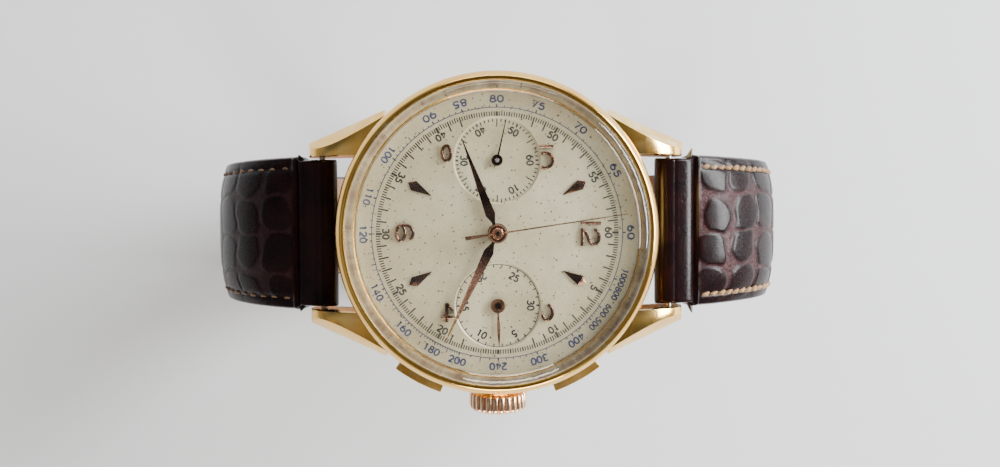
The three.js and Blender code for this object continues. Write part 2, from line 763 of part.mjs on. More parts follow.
add("mainspring", at(plate(spiral(5, 1.0, 4.6, 0.14), 3.5, 4.35), BARREL), STEEL);

// The ratchet wheel and barrel arbor, and the crown wheel that drives it from the clutch wheel.
const RATCHET_TEETH = 56;
const CROWN_WHEEL_TEETH = 22;
const WINDING_M = 0.2;
const WINDING_Z = [2.05, 2.4];
const CROWN_WHEEL = stepFrom(BARREL, spacing(RATCHET_TEETH, CROWN_WHEEL_TEETH, WINDING_M), 237.9);
const ratchet = plate(toothed(RATCHET_TEETH, WINDING_M), ...WINDING_Z);
add("ratchet_wheel", at(join(ratchet, disc(0.5, WINDING_Z[0], 5.6)), BARREL), STEEL);
const crownWheelPhase = meshed(0, RATCHET_TEETH, CROWN_WHEEL_TEETH, directionOf(BARREL, CROWN_WHEEL));
const crownWheel = plate(toothed(CROWN_WHEEL_TEETH, WINDING_M, crownWheelPhase), ...WINDING_Z);
add("crown_wheel", at(join(crownWheel, disc(0.45, WINDING_Z[0], 2.9)), CROWN_WHEEL), STEEL);

// Chronograph layer: the sweep wheel with its long arbor, and the minute recording wheel.
const CHRONO_Z = [1.7, 1.9];
function chronographWheel() {
  const rim = wheel(50, 0.16, 0, ...CHRONO_Z, 0.8);
  return join(rim, disc(ARBOR_R, CHRONO_Z[0], SWEEP_HAND_Z[1] + 0.25, TINY));
}
add("chronograph_wheel", chronographWheel(), BRASS);
function minuteRecordingWheel() {
  const rim = wheel(30, 0.16, 0, ...CHRONO_Z, 0.6);
  return at(join(rim, disc(0.15, CHRONO_Z[0], SMALL_HAND_Z[1] + 0.05, TINY)), COUNTER);
}
add("minute_recording_wheel", minuteRecordingWheel(), BRASS);

// Motion works under the dial: cannon pinion, minute wheel with its pinion, and hour wheel, 12 to 1.
const MOTION = { cannon: 12, minute: 36, minutePinion: 10, hour: 40 };
const MOTION_M = 0.11;
const MOTION_SPACING = spacing(MOTION.cannon, MOTION.minute, MOTION_M);
const HOUR_M = MOTION_SPACING / spacing(MOTION.minutePinion, MOTION.hour, 1);
const MINUTE_WHEEL = stepFrom(CENTRE, MOTION_SPACING, 20);
add(
  "cannon_pinion",
  cut(
    join(
      pinion(MOTION.cannon, MOTION_M, 0, 6.4, 6.6),
      disc(CANNON[1], 6.4, MINUTE_HAND_Z[1] + 0.05),
    ),
    disc(CANNON[0], 6, 12),
  ),
  STEEL,
);
const minutePhase = meshed(0, MOTION.cannon, MOTION.minute, 20);
const hourPhase = meshed(0, MOTION.minutePinion, MOTION.hour, 200);
add(
  "minute_wheel",
  at(
    join(
      plate(toothed(MOTION.minute, MOTION_M, minutePhase), 6.42, 6.58),
      pinion(MOTION.minutePinion, HOUR_M, 0, 6.56, 6.9),
      disc(0.2, 5.9, 6.5, TINY),
    ),
    MINUTE_WHEEL,
  ),
  BRASS,
);
add(
  "hour_wheel",
  cut(
    join(
      plate(toothed(MOTION.hour, HOUR_M, hourPhase), 6.7, 6.88),
      disc(HOUR_PIPE[1], 6.7, HOUR_HAND_Z[1] + 0.05),
    ),
    disc(HOUR_PIPE[0], 6, 12),
  ),
  BRASS,
);

// Plate and bridges. Every arbor gets a running hole.
const JEWELS = [CENTRE, THIRD, FOURTH, ESCAPE, PALLET, BALANCE, BARREL, COUNTER, CROWN_WHEEL];
const HOLE_R = [CENTRE_TUBE[1], 0.13, 0.15, 0.1, 0.1, 0.14, 0.5, 0.15, 0.45];
const arborHoles = () => JEWELS.map(([x, y], i) => discAt(x, y, HOLE_R[i] + CLEAR, 0, 9, TINY));
const SCREW_R = 13.9;
const SCREW_AT = [100, -20];
const screwHoles = () => SCREW_AT.map((direction) => at(disc(0.45, 0, 9, TINY), polar(SCREW_R, direction)));

function mainPlate() {
  const keyless = box(-1.75, 1.75, -15.2, -10.8, 5.0, 5.75);
  const balanceWell = discAt(...BALANCE, 1.1, 5.0, 5.4);
  const post = discAt(...MINUTE_WHEEL, 0.25, 5.8, 7, TINY);
  return cut(disc(MOVEMENT_R, ...PLATE_Z, ROUND), keyless, balanceWell, post, ...arborHoles());
}
add("main_plate", mainPlate(), GILT);

const pillar = (r, direction) => at(disc(0.9, BRIDGE_Z[0] + SEAT, PLATE_Z[0] - SEAT), polar(r, direction));
function barrelBridge() {
  const deck = sector(1.9, MOVEMENT_R - 0.3, -80, 22, ...BRIDGE_Z);
  const stemWay = box(-2, 1.9, -15.2, -10.8, 2.2, 3.2);
  return cut(join(deck, pillar(13.8, -48), pillar(13.8, 12)), stemWay, ...arborHoles(), ...screwHoles());
}
add("barrel_bridge", barrelBridge(), GILT);

function trainBridge() {
  const deck = join(sector(0, MOVEMENT_R - 0.3, 30, 142, ...BRIDGE_Z), disc(1.6, ...BRIDGE_Z));
  return cut(
    join(deck, pillar(13.8, 42), pillar(13.8, 132)),
    ...arborHoles(),
    ...screwHoles(),
    discAt(...BALANCE, 4.6, 0, 9),
  );
}
add("train_bridge", trainBridge(), GILT);

function balanceCock() {
  const foot = polar(13.9, 188);
  const arm = plate(ribbon([foot, BALANCE], 1.9), 2.3, 2.8);
  const ends = [foot, BALANCE].map((place) => at(disc(0.95, 2.3, 2.8), place));
  const post = at(disc(0.75, 2.6, PLATE_Z[0] - SEAT), foot);
  return cut(join(arm, ...ends, post), ...arborHoles());
}
add("balance_cock", balanceCock(), GILT);

// Two casing screws hold the movement in its ring.
for (const [i, direction] of SCREW_AT.entries()) {
  const head = cut(disc(0.8, 2.1, BRIDGE_Z[0] - SEAT), box(-1, 1, -0.12, 0.12, 1.9, 2.25));
  const shank = disc(0.4, 2.3, 2.95, TINY);
  add(`casing_screw_${i + 1}`, at(join(head, shank), polar(SCREW_R, direction)), STEEL);
}

// ---------------------------------------------------------------- strap
// The loop's middle line in the X-Z plane, from a spring bar round to the bottom, for the side x > 0.
const flatCurve = (...points) => new THREE.CubicBezierCurve(...points.map((p) => new THREE.Vector2(...p)));
const line = (a, b) => new THREE.LineCurve(new THREE.Vector2(...a), new THREE.Vector2(...b));
const SHOULDER = [BAR_X + 8, BAR_Z - 1.6]; // where the strap bends down, at x > 0
function shortPath() {
  const path = new THREE.CurvePath();
  path.add(flatCurve([BAR_X, BAR_Z], SHOULDER, [LOOP_X, LOOP_Z + 11], [LOOP_X, LOOP_Z]));
  path.add(flatCurve([LOOP_X, LOOP_Z], [LOOP_X, LOOP_Z - 15], [FLOOR_X + 11, FLOOR_Z], [FLOOR_X, FLOOR_Z]));
  path.add(line([FLOOR_X, FLOOR_Z], [-FLOOR_X, FLOOR_Z]));
  return path;
}
function longPath() {
  const outer = FLOOR_Z - LAYER;
  const far = LOOP_X + LAYER;
  const path = new THREE.CurvePath();
  path.add(
    flatCurve([-BAR_X, BAR_Z], [-SHOULDER[0], SHOULDER[1]], [-LOOP_X, LOOP_Z + 11], [-LOOP_X, LOOP_Z]),
  );
  path.add(
    flatCurve([-LOOP_X, LOOP_Z], [-LOOP_X, LOOP_Z - 15], [-FLOOR_X - 11, FLOOR_Z], [2 - FLOOR_X, FLOOR_Z]),
  );
  path.add(flatCurve([2 - FLOOR_X, FLOOR_Z], [-7, FLOOR_Z], [-5, outer], [1, outer]));
  path.add(line([1, outer], [FLOOR_X, outer]));
  path.add(flatCurve([FLOOR_X, outer], [FLOOR_X + 12.4, outer], [far, LOOP_Z - 15.6], [far, LOOP_Z]));
  return path;
}

// A band of leather along a path in the X-Z plane. Its width and thickness change along the way.
function band(path, from, to, widthAt, thicknessAt, steps) {
  const length = path.getLength();
  const rings = Array.from({ length: steps + 1 }, (_, i) => {
    const s = from + ((to - from) * i) / steps;
    const [p, t] = [path.getPointAt(s / length), path.getTangentAt(s / length)];
    const [w, h] = [widthAt(s) / 2, thicknessAt(s) / 2];
    const chamfer = h * 0.45;
    const corner = [
      [w, h - chamfer],
      [w - chamfer, h],
    ];
    const turnedCorner = ([signY, signN]) => corner.map(([y, n]) => [signY * y, signN * n]);
    const section = [
      ...turnedCorner([-1, -1]),
      ...turnedCorner([1, -1]).reverse(),
      ...turnedCorner([1, 1]),
      ...turnedCorner([-1, 1]).reverse(),
    ];
    return section.map(([y, n]) => [p.x - t.y * n, y, p.y + t.x * n]);
  });
  const sides = rings[0].length;
  const index = [];
  for (let i = 0; i < steps; i++) {
    for (let k = 0; k < sides; k++) {
      const [a, b] = [i * sides + k, i * sides + ((k + 1) % sides)];
      index.push(a, b, b + sides, a, b + sides, a + sides);
    }
  }
  for (let k = 1; k < sides - 1; k++) {
    index.push(0, k + 1, k);
    index.push(steps * sides, steps * sides + k, steps * sides + k + 1);
  }
  const geometry = new THREE.BufferGeometry()
    .setAttribute("position", new THREE.BufferAttribute(new Float32Array(rings.flat(2)), 3))
    .setIndex(index);
  return solid(geometry);
}

const ramp = (s, from, to) => THREE.MathUtils.smoothstep(s, from, to);
const STRAP_ROLL = 1.75; // radius of the fold round a spring bar
const STRAP_END = 2.4; // thickness near the buckle
const taper = (s) => mix(18.2, 16.0, Math.min(s / SHORT_LENGTH, 1));
const stepIn = (s) => (s < 2.6 ? 17.6 : taper(s));
const padding = (s) => mix(mix(3.3, 4.2, ramp(s, 1, 7)), STRAP_END, ramp(s, 12, 58));

const springBar = (x) =>
  join(
    barY(BAR_R, -8.75, 8.75, x, BAR_Z, 16),
    barY(PIN_R, -LUG_GAP / 2 - 0.8, LUG_GAP / 2 + 0.8, x, BAR_Z, TINY),
  );
add("spring_bar_12", springBar(BAR_X), STEEL);
add("spring_bar_6", springBar(-BAR_X), STEEL);

const BUCKLE_BAR = [1.2, FLOOR_Z];
const BUCKLE_ROLL = 1.45;
function strapBuckleSide() {
  const path = shortPath();
  const end = path.getLength() - FLOOR_X - BUCKLE_BAR[0];
  const fold = barY(STRAP_ROLL, -8.8, 8.8, BAR_X, BAR_Z);
  const buckleFold = barY(BUCKLE_ROLL, -7.9, 7.9, ...BUCKLE_BAR);
  const leather = join(band(path, 0, end, stepIn, padding, 30), fold, buckleFold);
  return cut(
    leather,
    barY(BAR_R + 0.15, -10, 10, BAR_X, BAR_Z, 16),
    barY(BAR_R + 0.15, -10, 10, ...BUCKLE_BAR, 16),
    box(BUCKLE_BAR[0] - 3, BUCKLE_BAR[0] + 2.2, -0.95, 0.95, FLOOR_Z - 3, FLOOR_Z + 3),
  );
}
add("strap_buckle_side", strapBuckleSide(), LEATHER);

const TAIL_THICK = 2.1;
const HOLE_PITCH = 6.5;
const TONGUE_X = -0.75; // where the tongue passes through the strap
const TONGUE_THICK = 0.85;
const thicknessLong = (s) => mix(padding(s), TAIL_THICK, ramp(s, 60, 80));
// The tip is rounded by narrowing over its last few millimetres.
function tailWidth(s) {
  const left = Math.max(LONG_LENGTH - s, 0);
  const full = mix(stepIn(s), 15.2, ramp(s, SHORT_LENGTH, LONG_LENGTH));
  return left > 9 ? full : Math.max(full * Math.sqrt(1 - (1 - left / 9) ** 2.2), 3.5);
}
// The distance along a path at which x first reaches a value on the loop's bottom.
function distanceAtX(path, x) {
  const length = path.getLength();
  let [low, high] = [60, 95];
  for (let i = 0; i < 40; i++) {
    const middle = (low + high) / 2;
    if (path.getPointAt(middle / length).x < x) low = middle;
    else high = middle;
  }
  return low;
}
function strapHoleSide() {
  const path = longPath();
  const length = path.getLength();
  const fold = barY(STRAP_ROLL, -8.8, 8.8, -BAR_X, BAR_Z);
  const leather = join(band(path, 0, LONG_LENGTH, tailWidth, thicknessLong, 48), fold);
  const tongueAt = distanceAtX(path, TONGUE_X);
  const holes = [-4, -3, -2, -1, 0, 1, 2].map((i) => {
    const s = tongueAt + i * HOLE_PITCH;
    const [p, t] = [path.getPointAt(s / length), path.getTangentAt(s / length)];
    const turn = THREE.MathUtils.radToDeg(Math.atan2(t.y, t.x));
    const stretch = i === 0 ? 1.8 : 1.25; // the tongue pulls its hole longer
    const punch = disc(0.95, -3, 3, TINY).scale([stretch, 1, 1]);
    return punch.rotate([0, -turn, 0]).translate([p.x, 0, p.y]);
  });
  return cut(leather, barY(BAR_R + 0.15, -10, 10, -BAR_X, BAR_Z, 16), ...holes);
}
add("strap_hole_side", strapHoleSide(), LEATHER);

// ---------------------------------------------------------------- buckle and keepers
const FRAME_HALF = [8.75, 10.4]; // inner and outer half width of the buckle frame
const FRAME_REACH = 12.6; // from the bar to the frame's outer edge
const FRAME_THICK = 2.0;
const tiltedAboutBar = (body) =>
  body.rotate([0, -BUCKLE_TILT, 0]).translate([BUCKLE_BAR[0], 0, BUCKLE_BAR[1]]);

// Frame in its own plane: the bar is at x = 0 and the frame reaches towards -x.
function buckleFrame() {
  const outline = new THREE.Shape();
  const [inner, outer] = FRAME_HALF;
  const corner = 3.2;
  outline.moveTo(1.3, -outer);
  outline.lineTo(-FRAME_REACH + corner, -outer);
  outline.quadraticCurveTo(-FRAME_REACH, -outer, -FRAME_REACH, -outer + corner);
  outline.lineTo(-FRAME_REACH, outer - corner);
  outline.quadraticCurveTo(-FRAME_REACH, outer, -FRAME_REACH + corner, outer);
  outline.lineTo(1.3, outer);
  outline.lineTo(1.3, inner);
  const rail = -FRAME_REACH + 2.1; // inner edge of the frame's far side
  outline.lineTo(rail + 1.7, inner);
  outline.quadraticCurveTo(rail, inner, rail, inner - 1.6);
  outline.lineTo(rail, -inner + 1.6);
  outline.quadraticCurveTo(rail, -inner, rail + 1.7, -inner);
  outline.lineTo(1.3, -inner);
  const half = FRAME_THICK / 2;
  const flat = plate(outline, -half, half);
  const notch = box(-FRAME_REACH - 1, -FRAME_REACH + 3, -0.8, 0.8, -half - 1, -half + 1.15);
  const pinHole = barY(0.45, -12, 12, 0, 0, TINY);
  return tiltedAboutBar(cut(flat, notch, pinHole));
}
add("buckle_frame", buckleFrame(), GOLD);
add(
  "buckle_bar",
  join(barY(BAR_R, -8.5, 8.5, ...BUCKLE_BAR, 16), barY(PIN_R, -10.2, 10.2, ...BUCKLE_BAR, TINY)),
  STEEL,
);

// The tongue loops round the bar, passes out through a strap hole and lies in the frame's notch.
function buckleTongue() {
  const [x, z] = BUCKLE_BAR;
  const tipZ = z - (FRAME_REACH - 0.6) * Math.sin(rad(BUCKLE_TILT)) - FRAME_THICK / 2 + 0.45;
  const bend = [
    [x - 0.6, z - 0.95],
    [x - 1.6, z - 1.9],
    [x - 2.2, z - 2.9],
    [x - 2.55, z - 3.5],
    [x - 3.1, z - 3.95],
    [x - 3.9, z - 4.2],
  ];
  const blade = sidePlate(ribbon([...bend, [x - FRAME_REACH - 0.1, tipZ]], TONGUE_THICK), -0.6, 0.6);
  const loop = barY(1.4, -0.6, 0.6, x, z, 18);
  return cut(join(loop, blade), barY(BAR_R + CLEAR, -2, 2, x, z, 18));
}
add("buckle_tongue", buckleTongue(), GOLD);

// A keeper is a flat leather loop round both strap layers.
const KEEPER_INNER = [8.35, FLOOR_Z + STRAP_END / 2 + 0.2, FLOOR_Z - LAYER - TAIL_THICK / 2 - 0.2];
const KEEPER_WALL = 1.0;
function keeper(x, width) {
  const [half, high, low] = KEEPER_INNER;
  const block = (grow, x0, x1, corner) => {
    const [y, top, bottom] = [half + grow, high + grow, low - grow];
    const outline = [
      [-y + corner, bottom],
      [y - corner, bottom],
      [y, bottom + corner],
      [y, top - corner],
      [y - corner, top],
      [-y + corner, top],
      [-y, top - corner],
      [-y, bottom + corner],
    ];
    return plate(outline, x0, x1).rotate([90, 0, 90]);
  };
  return cut(block(KEEPER_WALL, x, x + width, 1.3), block(0, x - 1, x + width + 1, 0.5));
}
add("fixed_keeper", keeper(4.6, 4.6), LEATHER);
add("free_keeper", keeper(12.4, 4.6), LEATHER);

export default group;
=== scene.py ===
import contextlib
import json
import math

import bmesh
import bpy
import numpy as np
from mathutils import Matrix, Vector

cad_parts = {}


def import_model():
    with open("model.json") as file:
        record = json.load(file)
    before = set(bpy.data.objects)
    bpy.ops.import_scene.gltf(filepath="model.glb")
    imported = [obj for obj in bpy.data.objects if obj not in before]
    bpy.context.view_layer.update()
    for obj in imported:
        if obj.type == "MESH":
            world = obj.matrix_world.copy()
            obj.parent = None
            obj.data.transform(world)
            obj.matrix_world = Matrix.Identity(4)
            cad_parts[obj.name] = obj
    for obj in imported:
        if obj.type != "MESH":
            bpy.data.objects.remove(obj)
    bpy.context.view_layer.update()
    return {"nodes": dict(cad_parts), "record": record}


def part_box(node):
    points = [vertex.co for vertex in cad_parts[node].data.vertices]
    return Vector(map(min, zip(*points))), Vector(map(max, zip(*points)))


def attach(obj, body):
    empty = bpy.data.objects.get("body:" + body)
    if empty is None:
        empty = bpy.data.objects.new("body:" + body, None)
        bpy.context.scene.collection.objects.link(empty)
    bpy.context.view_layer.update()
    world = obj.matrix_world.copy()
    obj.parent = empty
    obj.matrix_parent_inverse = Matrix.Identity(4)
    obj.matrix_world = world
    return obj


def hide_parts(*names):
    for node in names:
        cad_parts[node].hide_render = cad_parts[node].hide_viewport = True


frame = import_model()

MM = 0.001
TAU = 2 * math.pi


def box_mm(node):
    low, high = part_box(node)
    return np.array(low) / MM, np.array(high) / MM


# ---------------------------------------------------------------- driving dimensions
CRYSTAL_LOW, CRYSTAL_HIGH = box_mm("crystal")
CRYSTAL_R = CRYSTAL_HIGH[0]
DIAL_LOW, DIAL_HIGH = box_mm("dial")
DIAL_R = DIAL_HIGH[0]
DIAL_TOP = DIAL_HIGH[2]
MARKER_TOP = box_mm("marker_1")[1][2]
CROWN_LOW, CROWN_HIGH = box_mm("crown")
CROWN_Z = (CROWN_LOW[2] + CROWN_HIGH[2]) / 2
CROWN_R = CROWN_HIGH[0]
BAR_LOW, BAR_HIGH = box_mm("spring_bar_12")
BAR_X = (BAR_LOW[0] + BAR_HIGH[0]) / 2
BAR_Z = (BAR_LOW[2] + BAR_HIGH[2]) / 2
BUCKLE_LOW, BUCKLE_HIGH = box_mm("buckle_bar")
BUCKLE_X = (BUCKLE_LOW[0] + BUCKLE_HIGH[0]) / 2
BUCKLE_Z = (BUCKLE_LOW[2] + BUCKLE_HIGH[2]) / 2
GROUND_Z = box_mm("fixed_keeper")[0][2]

REGISTER_OFFSET = 8.35  # centre of each register from the dial's centre
REGISTER_R = 5.0
REGISTER_SINK = 0.16
RING_R = 14.4  # the tachymeter's ring line
LUG_HALF = 9.1  # half of the gap between two lugs
PUSHER_ANGLE = 28.5
PUSHER_HALF = 8.7
PUSHER_Z = 4.0
FINE = 192  # facets round the case


# ---------------------------------------------------------------- mesh helpers
def mesh_plain(name, vertices, faces, sharp=50):
    """A new object from millimetre vertices, kept vertex for vertex and smooth up to sharp degrees."""
    mesh = bpy.data.meshes.new(name)
    mesh.from_pydata([tuple(MM * float(c) for c in v) for v in vertices], [], faces)
    made = bpy.data.objects.new(name, mesh)
    bpy.context.scene.collection.objects.link(made)
    shade(made, sharp)
    return made


@contextlib.contextmanager
def editing(made):
    """The object's mesh, opened for editing and written back at the end."""
    body = bmesh.new()
    body.from_mesh(made.data)
    yield body
    body.to_mesh(made.data)
    body.free()


def mesh_object(name, vertices, faces, sharp=32):
    """A new object with doubled vertices joined and its normals pointing outwards."""
    made = mesh_plain(name, vertices, faces)
    with editing(made) as body:
        bmesh.ops.remove_doubles(body, verts=body.verts, dist=1e-7)
        bmesh.ops.dissolve_degenerate(body, edges=body.edges, dist=1e-7)
        bmesh.ops.recalc_face_normals(body, faces=body.faces)
    shade(made, sharp)
    return made


def shade(made, sharp=32):
    made.data.shade_smooth()
    made.data.set_sharp_from_angle(angle=math.radians(sharp))


def dress(made, look, body, slot, *nodes):
    """Gives a piece its material and body, and hides the CAD nodes it stands for. slot is not used."""
    materials = made.data.materials
    for i, material in enumerate(look if isinstance(look, (list, tuple)) else [look]):
        if i < len(materials):
            materials[i] = material
        else:
            materials.append(material)
    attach(made, body)
    if nodes:
        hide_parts(*nodes)
    return made


def merged(*shapes):
    """Several (vertices, faces) shapes as one."""
    vertices, faces = [], []
    for some_vertices, some_faces in shapes:
        start = len(vertices)
        vertices += [tuple(v) for v in some_vertices]
        faces += [tuple(start + i for i in face) for face in some_faces]
    return vertices, faces


def moved(shape, matrix):
    vertices, faces = shape
    return [tuple(matrix @ Vector(v)) for v in vertices], faces


def loft(rings, closed_ends=False):
    """Quads between rings of equal size. The first and last ring are capped unless they join up."""
    count, size = len(rings), len(rings[0])
    vertices = [tuple(v) for ring in rings for v in ring]
    faces = []
    for i in range(count if closed_ends else count - 1):
        a, b = i * size, (i + 1) % count * size
        for k in range(size):
            n = (k + 1) % size
            faces.append((a + k, a + n, b + n, b + k))
    if not closed_ends:
        faces.append(tuple(range(size))[::-1])
        faces.append(tuple((count - 1) * size + k for k in range(size)))
    return vertices, faces


def rounded(points, radius, steps=3):
    """An outline or profile with its corners rounded. radius is one value or one for each corner."""
    count = len(points)
    radii = radius if isinstance(radius, (list, tuple)) else [radius] * count
    result = []
    for i, corner in enumerate(points):
        corner = np.array(corner, float)
        if radii[i] <= 0:
            result.append(tuple(corner))
            continue
        before = np.array(points[i - 1], float) - corner
        after = np.array(points[(i + 1) % count], float) - corner
        reach_before = min(radii[i], 0.49 * np.linalg.norm(before)) / np.linalg.norm(before)
        reach_after = min(radii[i], 0.49 * np.linalg.norm(after)) / np.linalg.norm(after)
        start, end = corner + before * reach_before, corner + after * reach_after
        for t in np.linspace(0, 1, steps + 1):
            result.append(tuple((1 - t) ** 2 * start + 2 * t * (1 - t) * corner + t * t * end))
    return result


def turned(profile, facets=FINE, closed=False, centre=(0.0, 0.0)):
    """A profile of (radius, z) turned about an upright line. It ends on the axis or is closed."""
    angles = np.arange(facets) / facets * TAU
    vertices, faces, starts = [], [], []
    for r, z in profile:
        starts.append((len(vertices), r > 1e-6))
        around = angles if r > 1e-6 else angles[:1]
        vertices += [(centre[0] + r * math.cos(a), centre[1] + r * math.sin(a), z) for a in around]
    pairs = list(zip(starts, starts[1:] + starts[:1])) if closed else list(zip(starts, starts[1:]))
    for (a, a_ring), (b, b_ring) in pairs:
        for k in range(facets):
            n = (k + 1) % facets
            if a_ring and b_ring:
                faces.append((a + k, a + n, b + n, b + k))
            elif a_ring:
                faces.append((a + k, a + n, b))
            elif b_ring:
                faces.append((a, b + n, b + k))
    return vertices, faces


def turn_z(degrees):
    return Matrix.Rotation(math.radians(degrees), 4, "Z")


def along_y(shape, x, z):
    """A shape turned about Z, laid along -Y through (x, z)."""
    return moved(shape, Matrix.Translation((x, 0, z)) @ Matrix.Rotation(math.radians(90), 4, "X"))


def prism(outline, low, high):
    """An outline of (x, y) between two heights."""
    return loft([[(x, y, low) for x, y in outline], [(x, y, high) for x, y in outline]])


def slab(name, outline, low, high, bevel, steps=3):
    """An upright plate with its edges rounded."""
    made = mesh_object(name, *prism(outline, low, high))
    soften(made, bevel, steps)
    return made


def soften(made, bevel, steps=2, least=25):
    """Rounds the edges of an object that are sharper than least degrees."""
    limit = math.radians(least)
    with editing(made) as body:
        edges = [e for e in body.edges if e.is_manifold and e.calc_face_angle(0) > limit]
        shape = {"segments": steps, "profile": 0.6, "affect": "EDGES", "clamp_overlap": True}
        bmesh.ops.bevel(body, geom=edges, offset=bevel * MM, **shape)
    shade(made)


def boolean(target, tool, operation="DIFFERENCE", sharp=None):
    """Cuts or joins an object with another one, which is used up. Shades it anew if sharp is given."""
    modifier = target.modifiers.new("cut", "BOOLEAN")
    modifier.operation = operation
    modifier.solver = "EXACT"
    modifier.object = tool
    depsgraph = bpy.context.evaluated_depsgraph_get()
    result = bpy.data.meshes.new_from_object(target.evaluated_get(depsgraph))
    target.modifiers.clear()
    old, target.data = target.data, result
    bpy.data.meshes.remove(old)
    bpy.data.objects.remove(tool)
    if sharp:
        shade(target, sharp)


def clip(made, point, normal):
    """Cuts away the side of an object that normal points to, and closes the cut."""
    with editing(made) as body:
        everything = body.verts[:] + body.edges[:] + body.faces[:]
        plane = {"plane_co": Vector(point) * MM, "plane_no": Vector(normal)}
        cut = bmesh.ops.bisect_plane(body, geom=everything, clear_outer=True, **plane)
        edges = [e for e in cut["geom_cut"] if isinstance(e, bmesh.types.BMEdge)]
        bmesh.ops.edgeloop_fill(body, edges=edges)
        bmesh.ops.recalc_face_normals(body, faces=body.faces)


def smooth_curve(points, steps=6):
    """A Catmull-Rom curve through points."""
    points = [np.array(p, float) for p in points]
    padded = [2 * points[0] - points[1], *points, 2 * points[-1] - points[-2]]
    result = []
    for i in range(1, len(padded) - 2):
        a, b, c, d = padded[i - 1 : i + 3]
        for t in np.arange(steps) / steps:
            square, cube = 2 * a - 5 * b + 4 * c - d, 3 * b - a - 3 * c + d
            result.append(0.5 * (2 * b + (c - a) * t + square * t * t + cube * t**3))
    result.append(points[-1])
    return [tuple(p) for p in result]


def ribbon(points, width):
    """The two edges of a stroke of even width along (x, y) points, as one outline."""
    left, right = [], []
    for i, (x, y) in enumerate(points):
        (ax, ay), (bx, by) = points[max(i - 1, 0)], points[min(i + 1, len(points) - 1)]
        scale = width / 2 / (math.hypot(bx - ax, by - ay) or 1)
        left.append((x - (by - ay) * scale, y + (bx - ax) * scale))
        right.append((x + (by - ay) * scale, y - (bx - ax) * scale))
    return left, right


def polar(r, degrees):
    return r * math.cos(math.radians(degrees)), r * math.sin(math.radians(degrees))


# ---------------------------------------------------------------- materials
class Look:
    """A Principled material built up from procedural nodes in object coordinates."""

    def __init__(self, name, color, roughness, metallic=0.0, **sockets):
        self.material = bpy.data.materials.new(name)
        self.material.use_nodes = True
        self.nodes = self.material.node_tree.nodes
        self.links = self.material.node_tree.links
        self.shader = self.nodes["Principled BSDF"]
        self.shader.inputs["Base Color"].default_value = (*color, 1)
        self.shader.inputs["Roughness"].default_value = roughness
        self.shader.inputs["Metallic"].default_value = metallic
        for socket, value in sockets.items():
            self.shader.inputs[socket.replace("_", " ")].default_value = value
        self.place = self.nodes.new("ShaderNodeTexCoord").outputs["Object"]

    def put(self, value, socket):
        """Sets a socket to a number, or links it to another socket."""
        if isinstance(value, bpy.types.NodeSocket):
            self.links.new(value, socket)
        else:
            socket.default_value = value

    def times(self, a, b):
        return self.math("MULTIPLY", a, b)

    def plus(self, a, b, clamp=False):
        return self.math("ADD", a, b, clamp)

    def minus(self, a, b):
        return self.math("SUBTRACT", a, b)

    def cloud(self, size, detail, low, high, *results, roughness=0.55, **options):
        """Noise stretched between two of its values, to 0..1 or to two results."""
        return self.range(self.noise(size, detail, roughness, **options), low, high, *results)

    def node(self, kind, **settings):
        made = self.nodes.new(kind)
        for key, value in settings.items():
            setattr(made, key, value)
        return made

    def noise(self, size, detail=3, roughness=0.55, stretch=None, distortion=0.0):
        """Noise whose features are about size millimetres."""
        made = self.node("ShaderNodeTexNoise")
        place = self.place
        if stretch:
            mapping = self.node("ShaderNodeMapping")
            mapping.inputs["Scale"].default_value = stretch
            self.links.new(place, mapping.inputs["Vector"])
            place = mapping.outputs["Vector"]
        self.links.new(place, made.inputs["Vector"])
        made.inputs["Scale"].default_value = 1 / (size * MM)
        made.inputs["Detail"].default_value = detail
        made.inputs["Roughness"].default_value = roughness
        made.inputs["Distortion"].default_value = distortion
        return made.outputs["Fac"]

    def cells(self, size, feature="F1", flat=False):
        made = self.node("ShaderNodeTexVoronoi", feature=feature)
        made.voronoi_dimensions = "2D" if flat else "3D"
        self.links.new(self.place, made.inputs["Vector"])
        made.inputs["Scale"].default_value = 1 / (size * MM)
        return made.outputs["Distance"]

    def math(self, operation, a, b=0.0, clamp=False):
        made = self.node("ShaderNodeMath", operation=operation, use_clamp=clamp)
        self.put(a, made.inputs[0])
        self.put(b, made.inputs[1])
        return made.outputs[0]

    def range(self, value, low, high, to_low=0.0, to_high=1.0):
        made = self.node("ShaderNodeMapRange")
        for socket, number in zip(made.inputs, (value, low, high, to_low, to_high)):
            self.put(number, socket)
        return made.outputs[0]

    def mix(self, factor, a, b):
        made = self.node("ShaderNodeMix", data_type="RGBA")
        self.put(factor, made.inputs["Factor"])
        for value, socket in ((a, made.inputs[6]), (b, made.inputs[7])):
            self.put((*value, 1) if isinstance(value, tuple) else value, socket)
        return made.outputs[2]

    def axis(self, name):
        made = self.node("ShaderNodeSeparateXYZ")
        self.links.new(self.place, made.inputs[0])
        return made.outputs[name]

    def attribute(self, name):
        return self.node("ShaderNodeAttribute", attribute_name=name).outputs["Fac"]

    def radius(self, centre=(0, 0)):
        """Distance in metres from an upright line at centre, in millimetres."""
        x = self.minus(self.axis("X"), centre[0] * MM)
        y = self.minus(self.axis("Y"), centre[1] * MM)
        squares = self.plus(self.times(x, x), self.times(y, y))
        return self.math("SQRT", squares)

    def color(self, socket):
        self.put(socket, self.shader.inputs["Base Color"])
        return self

    def roughness(self, socket):
        self.put(socket, self.shader.inputs["Roughness"])
        return self

    def bump(self, height, depth):
        """A bump of depth millimetres for a height of one."""
        made = self.node("ShaderNodeBump")
        made.inputs["Strength"].default_value = 1.0
        made.inputs["Distance"].default_value = depth * MM
        self.put(height, made.inputs["Height"])
        previous = self.shader.inputs["Normal"]
        if previous.is_linked:
            self.links.new(previous.links[0].from_socket, made.inputs["Normal"])
        self.links.new(made.outputs["Normal"], previous)
        return self


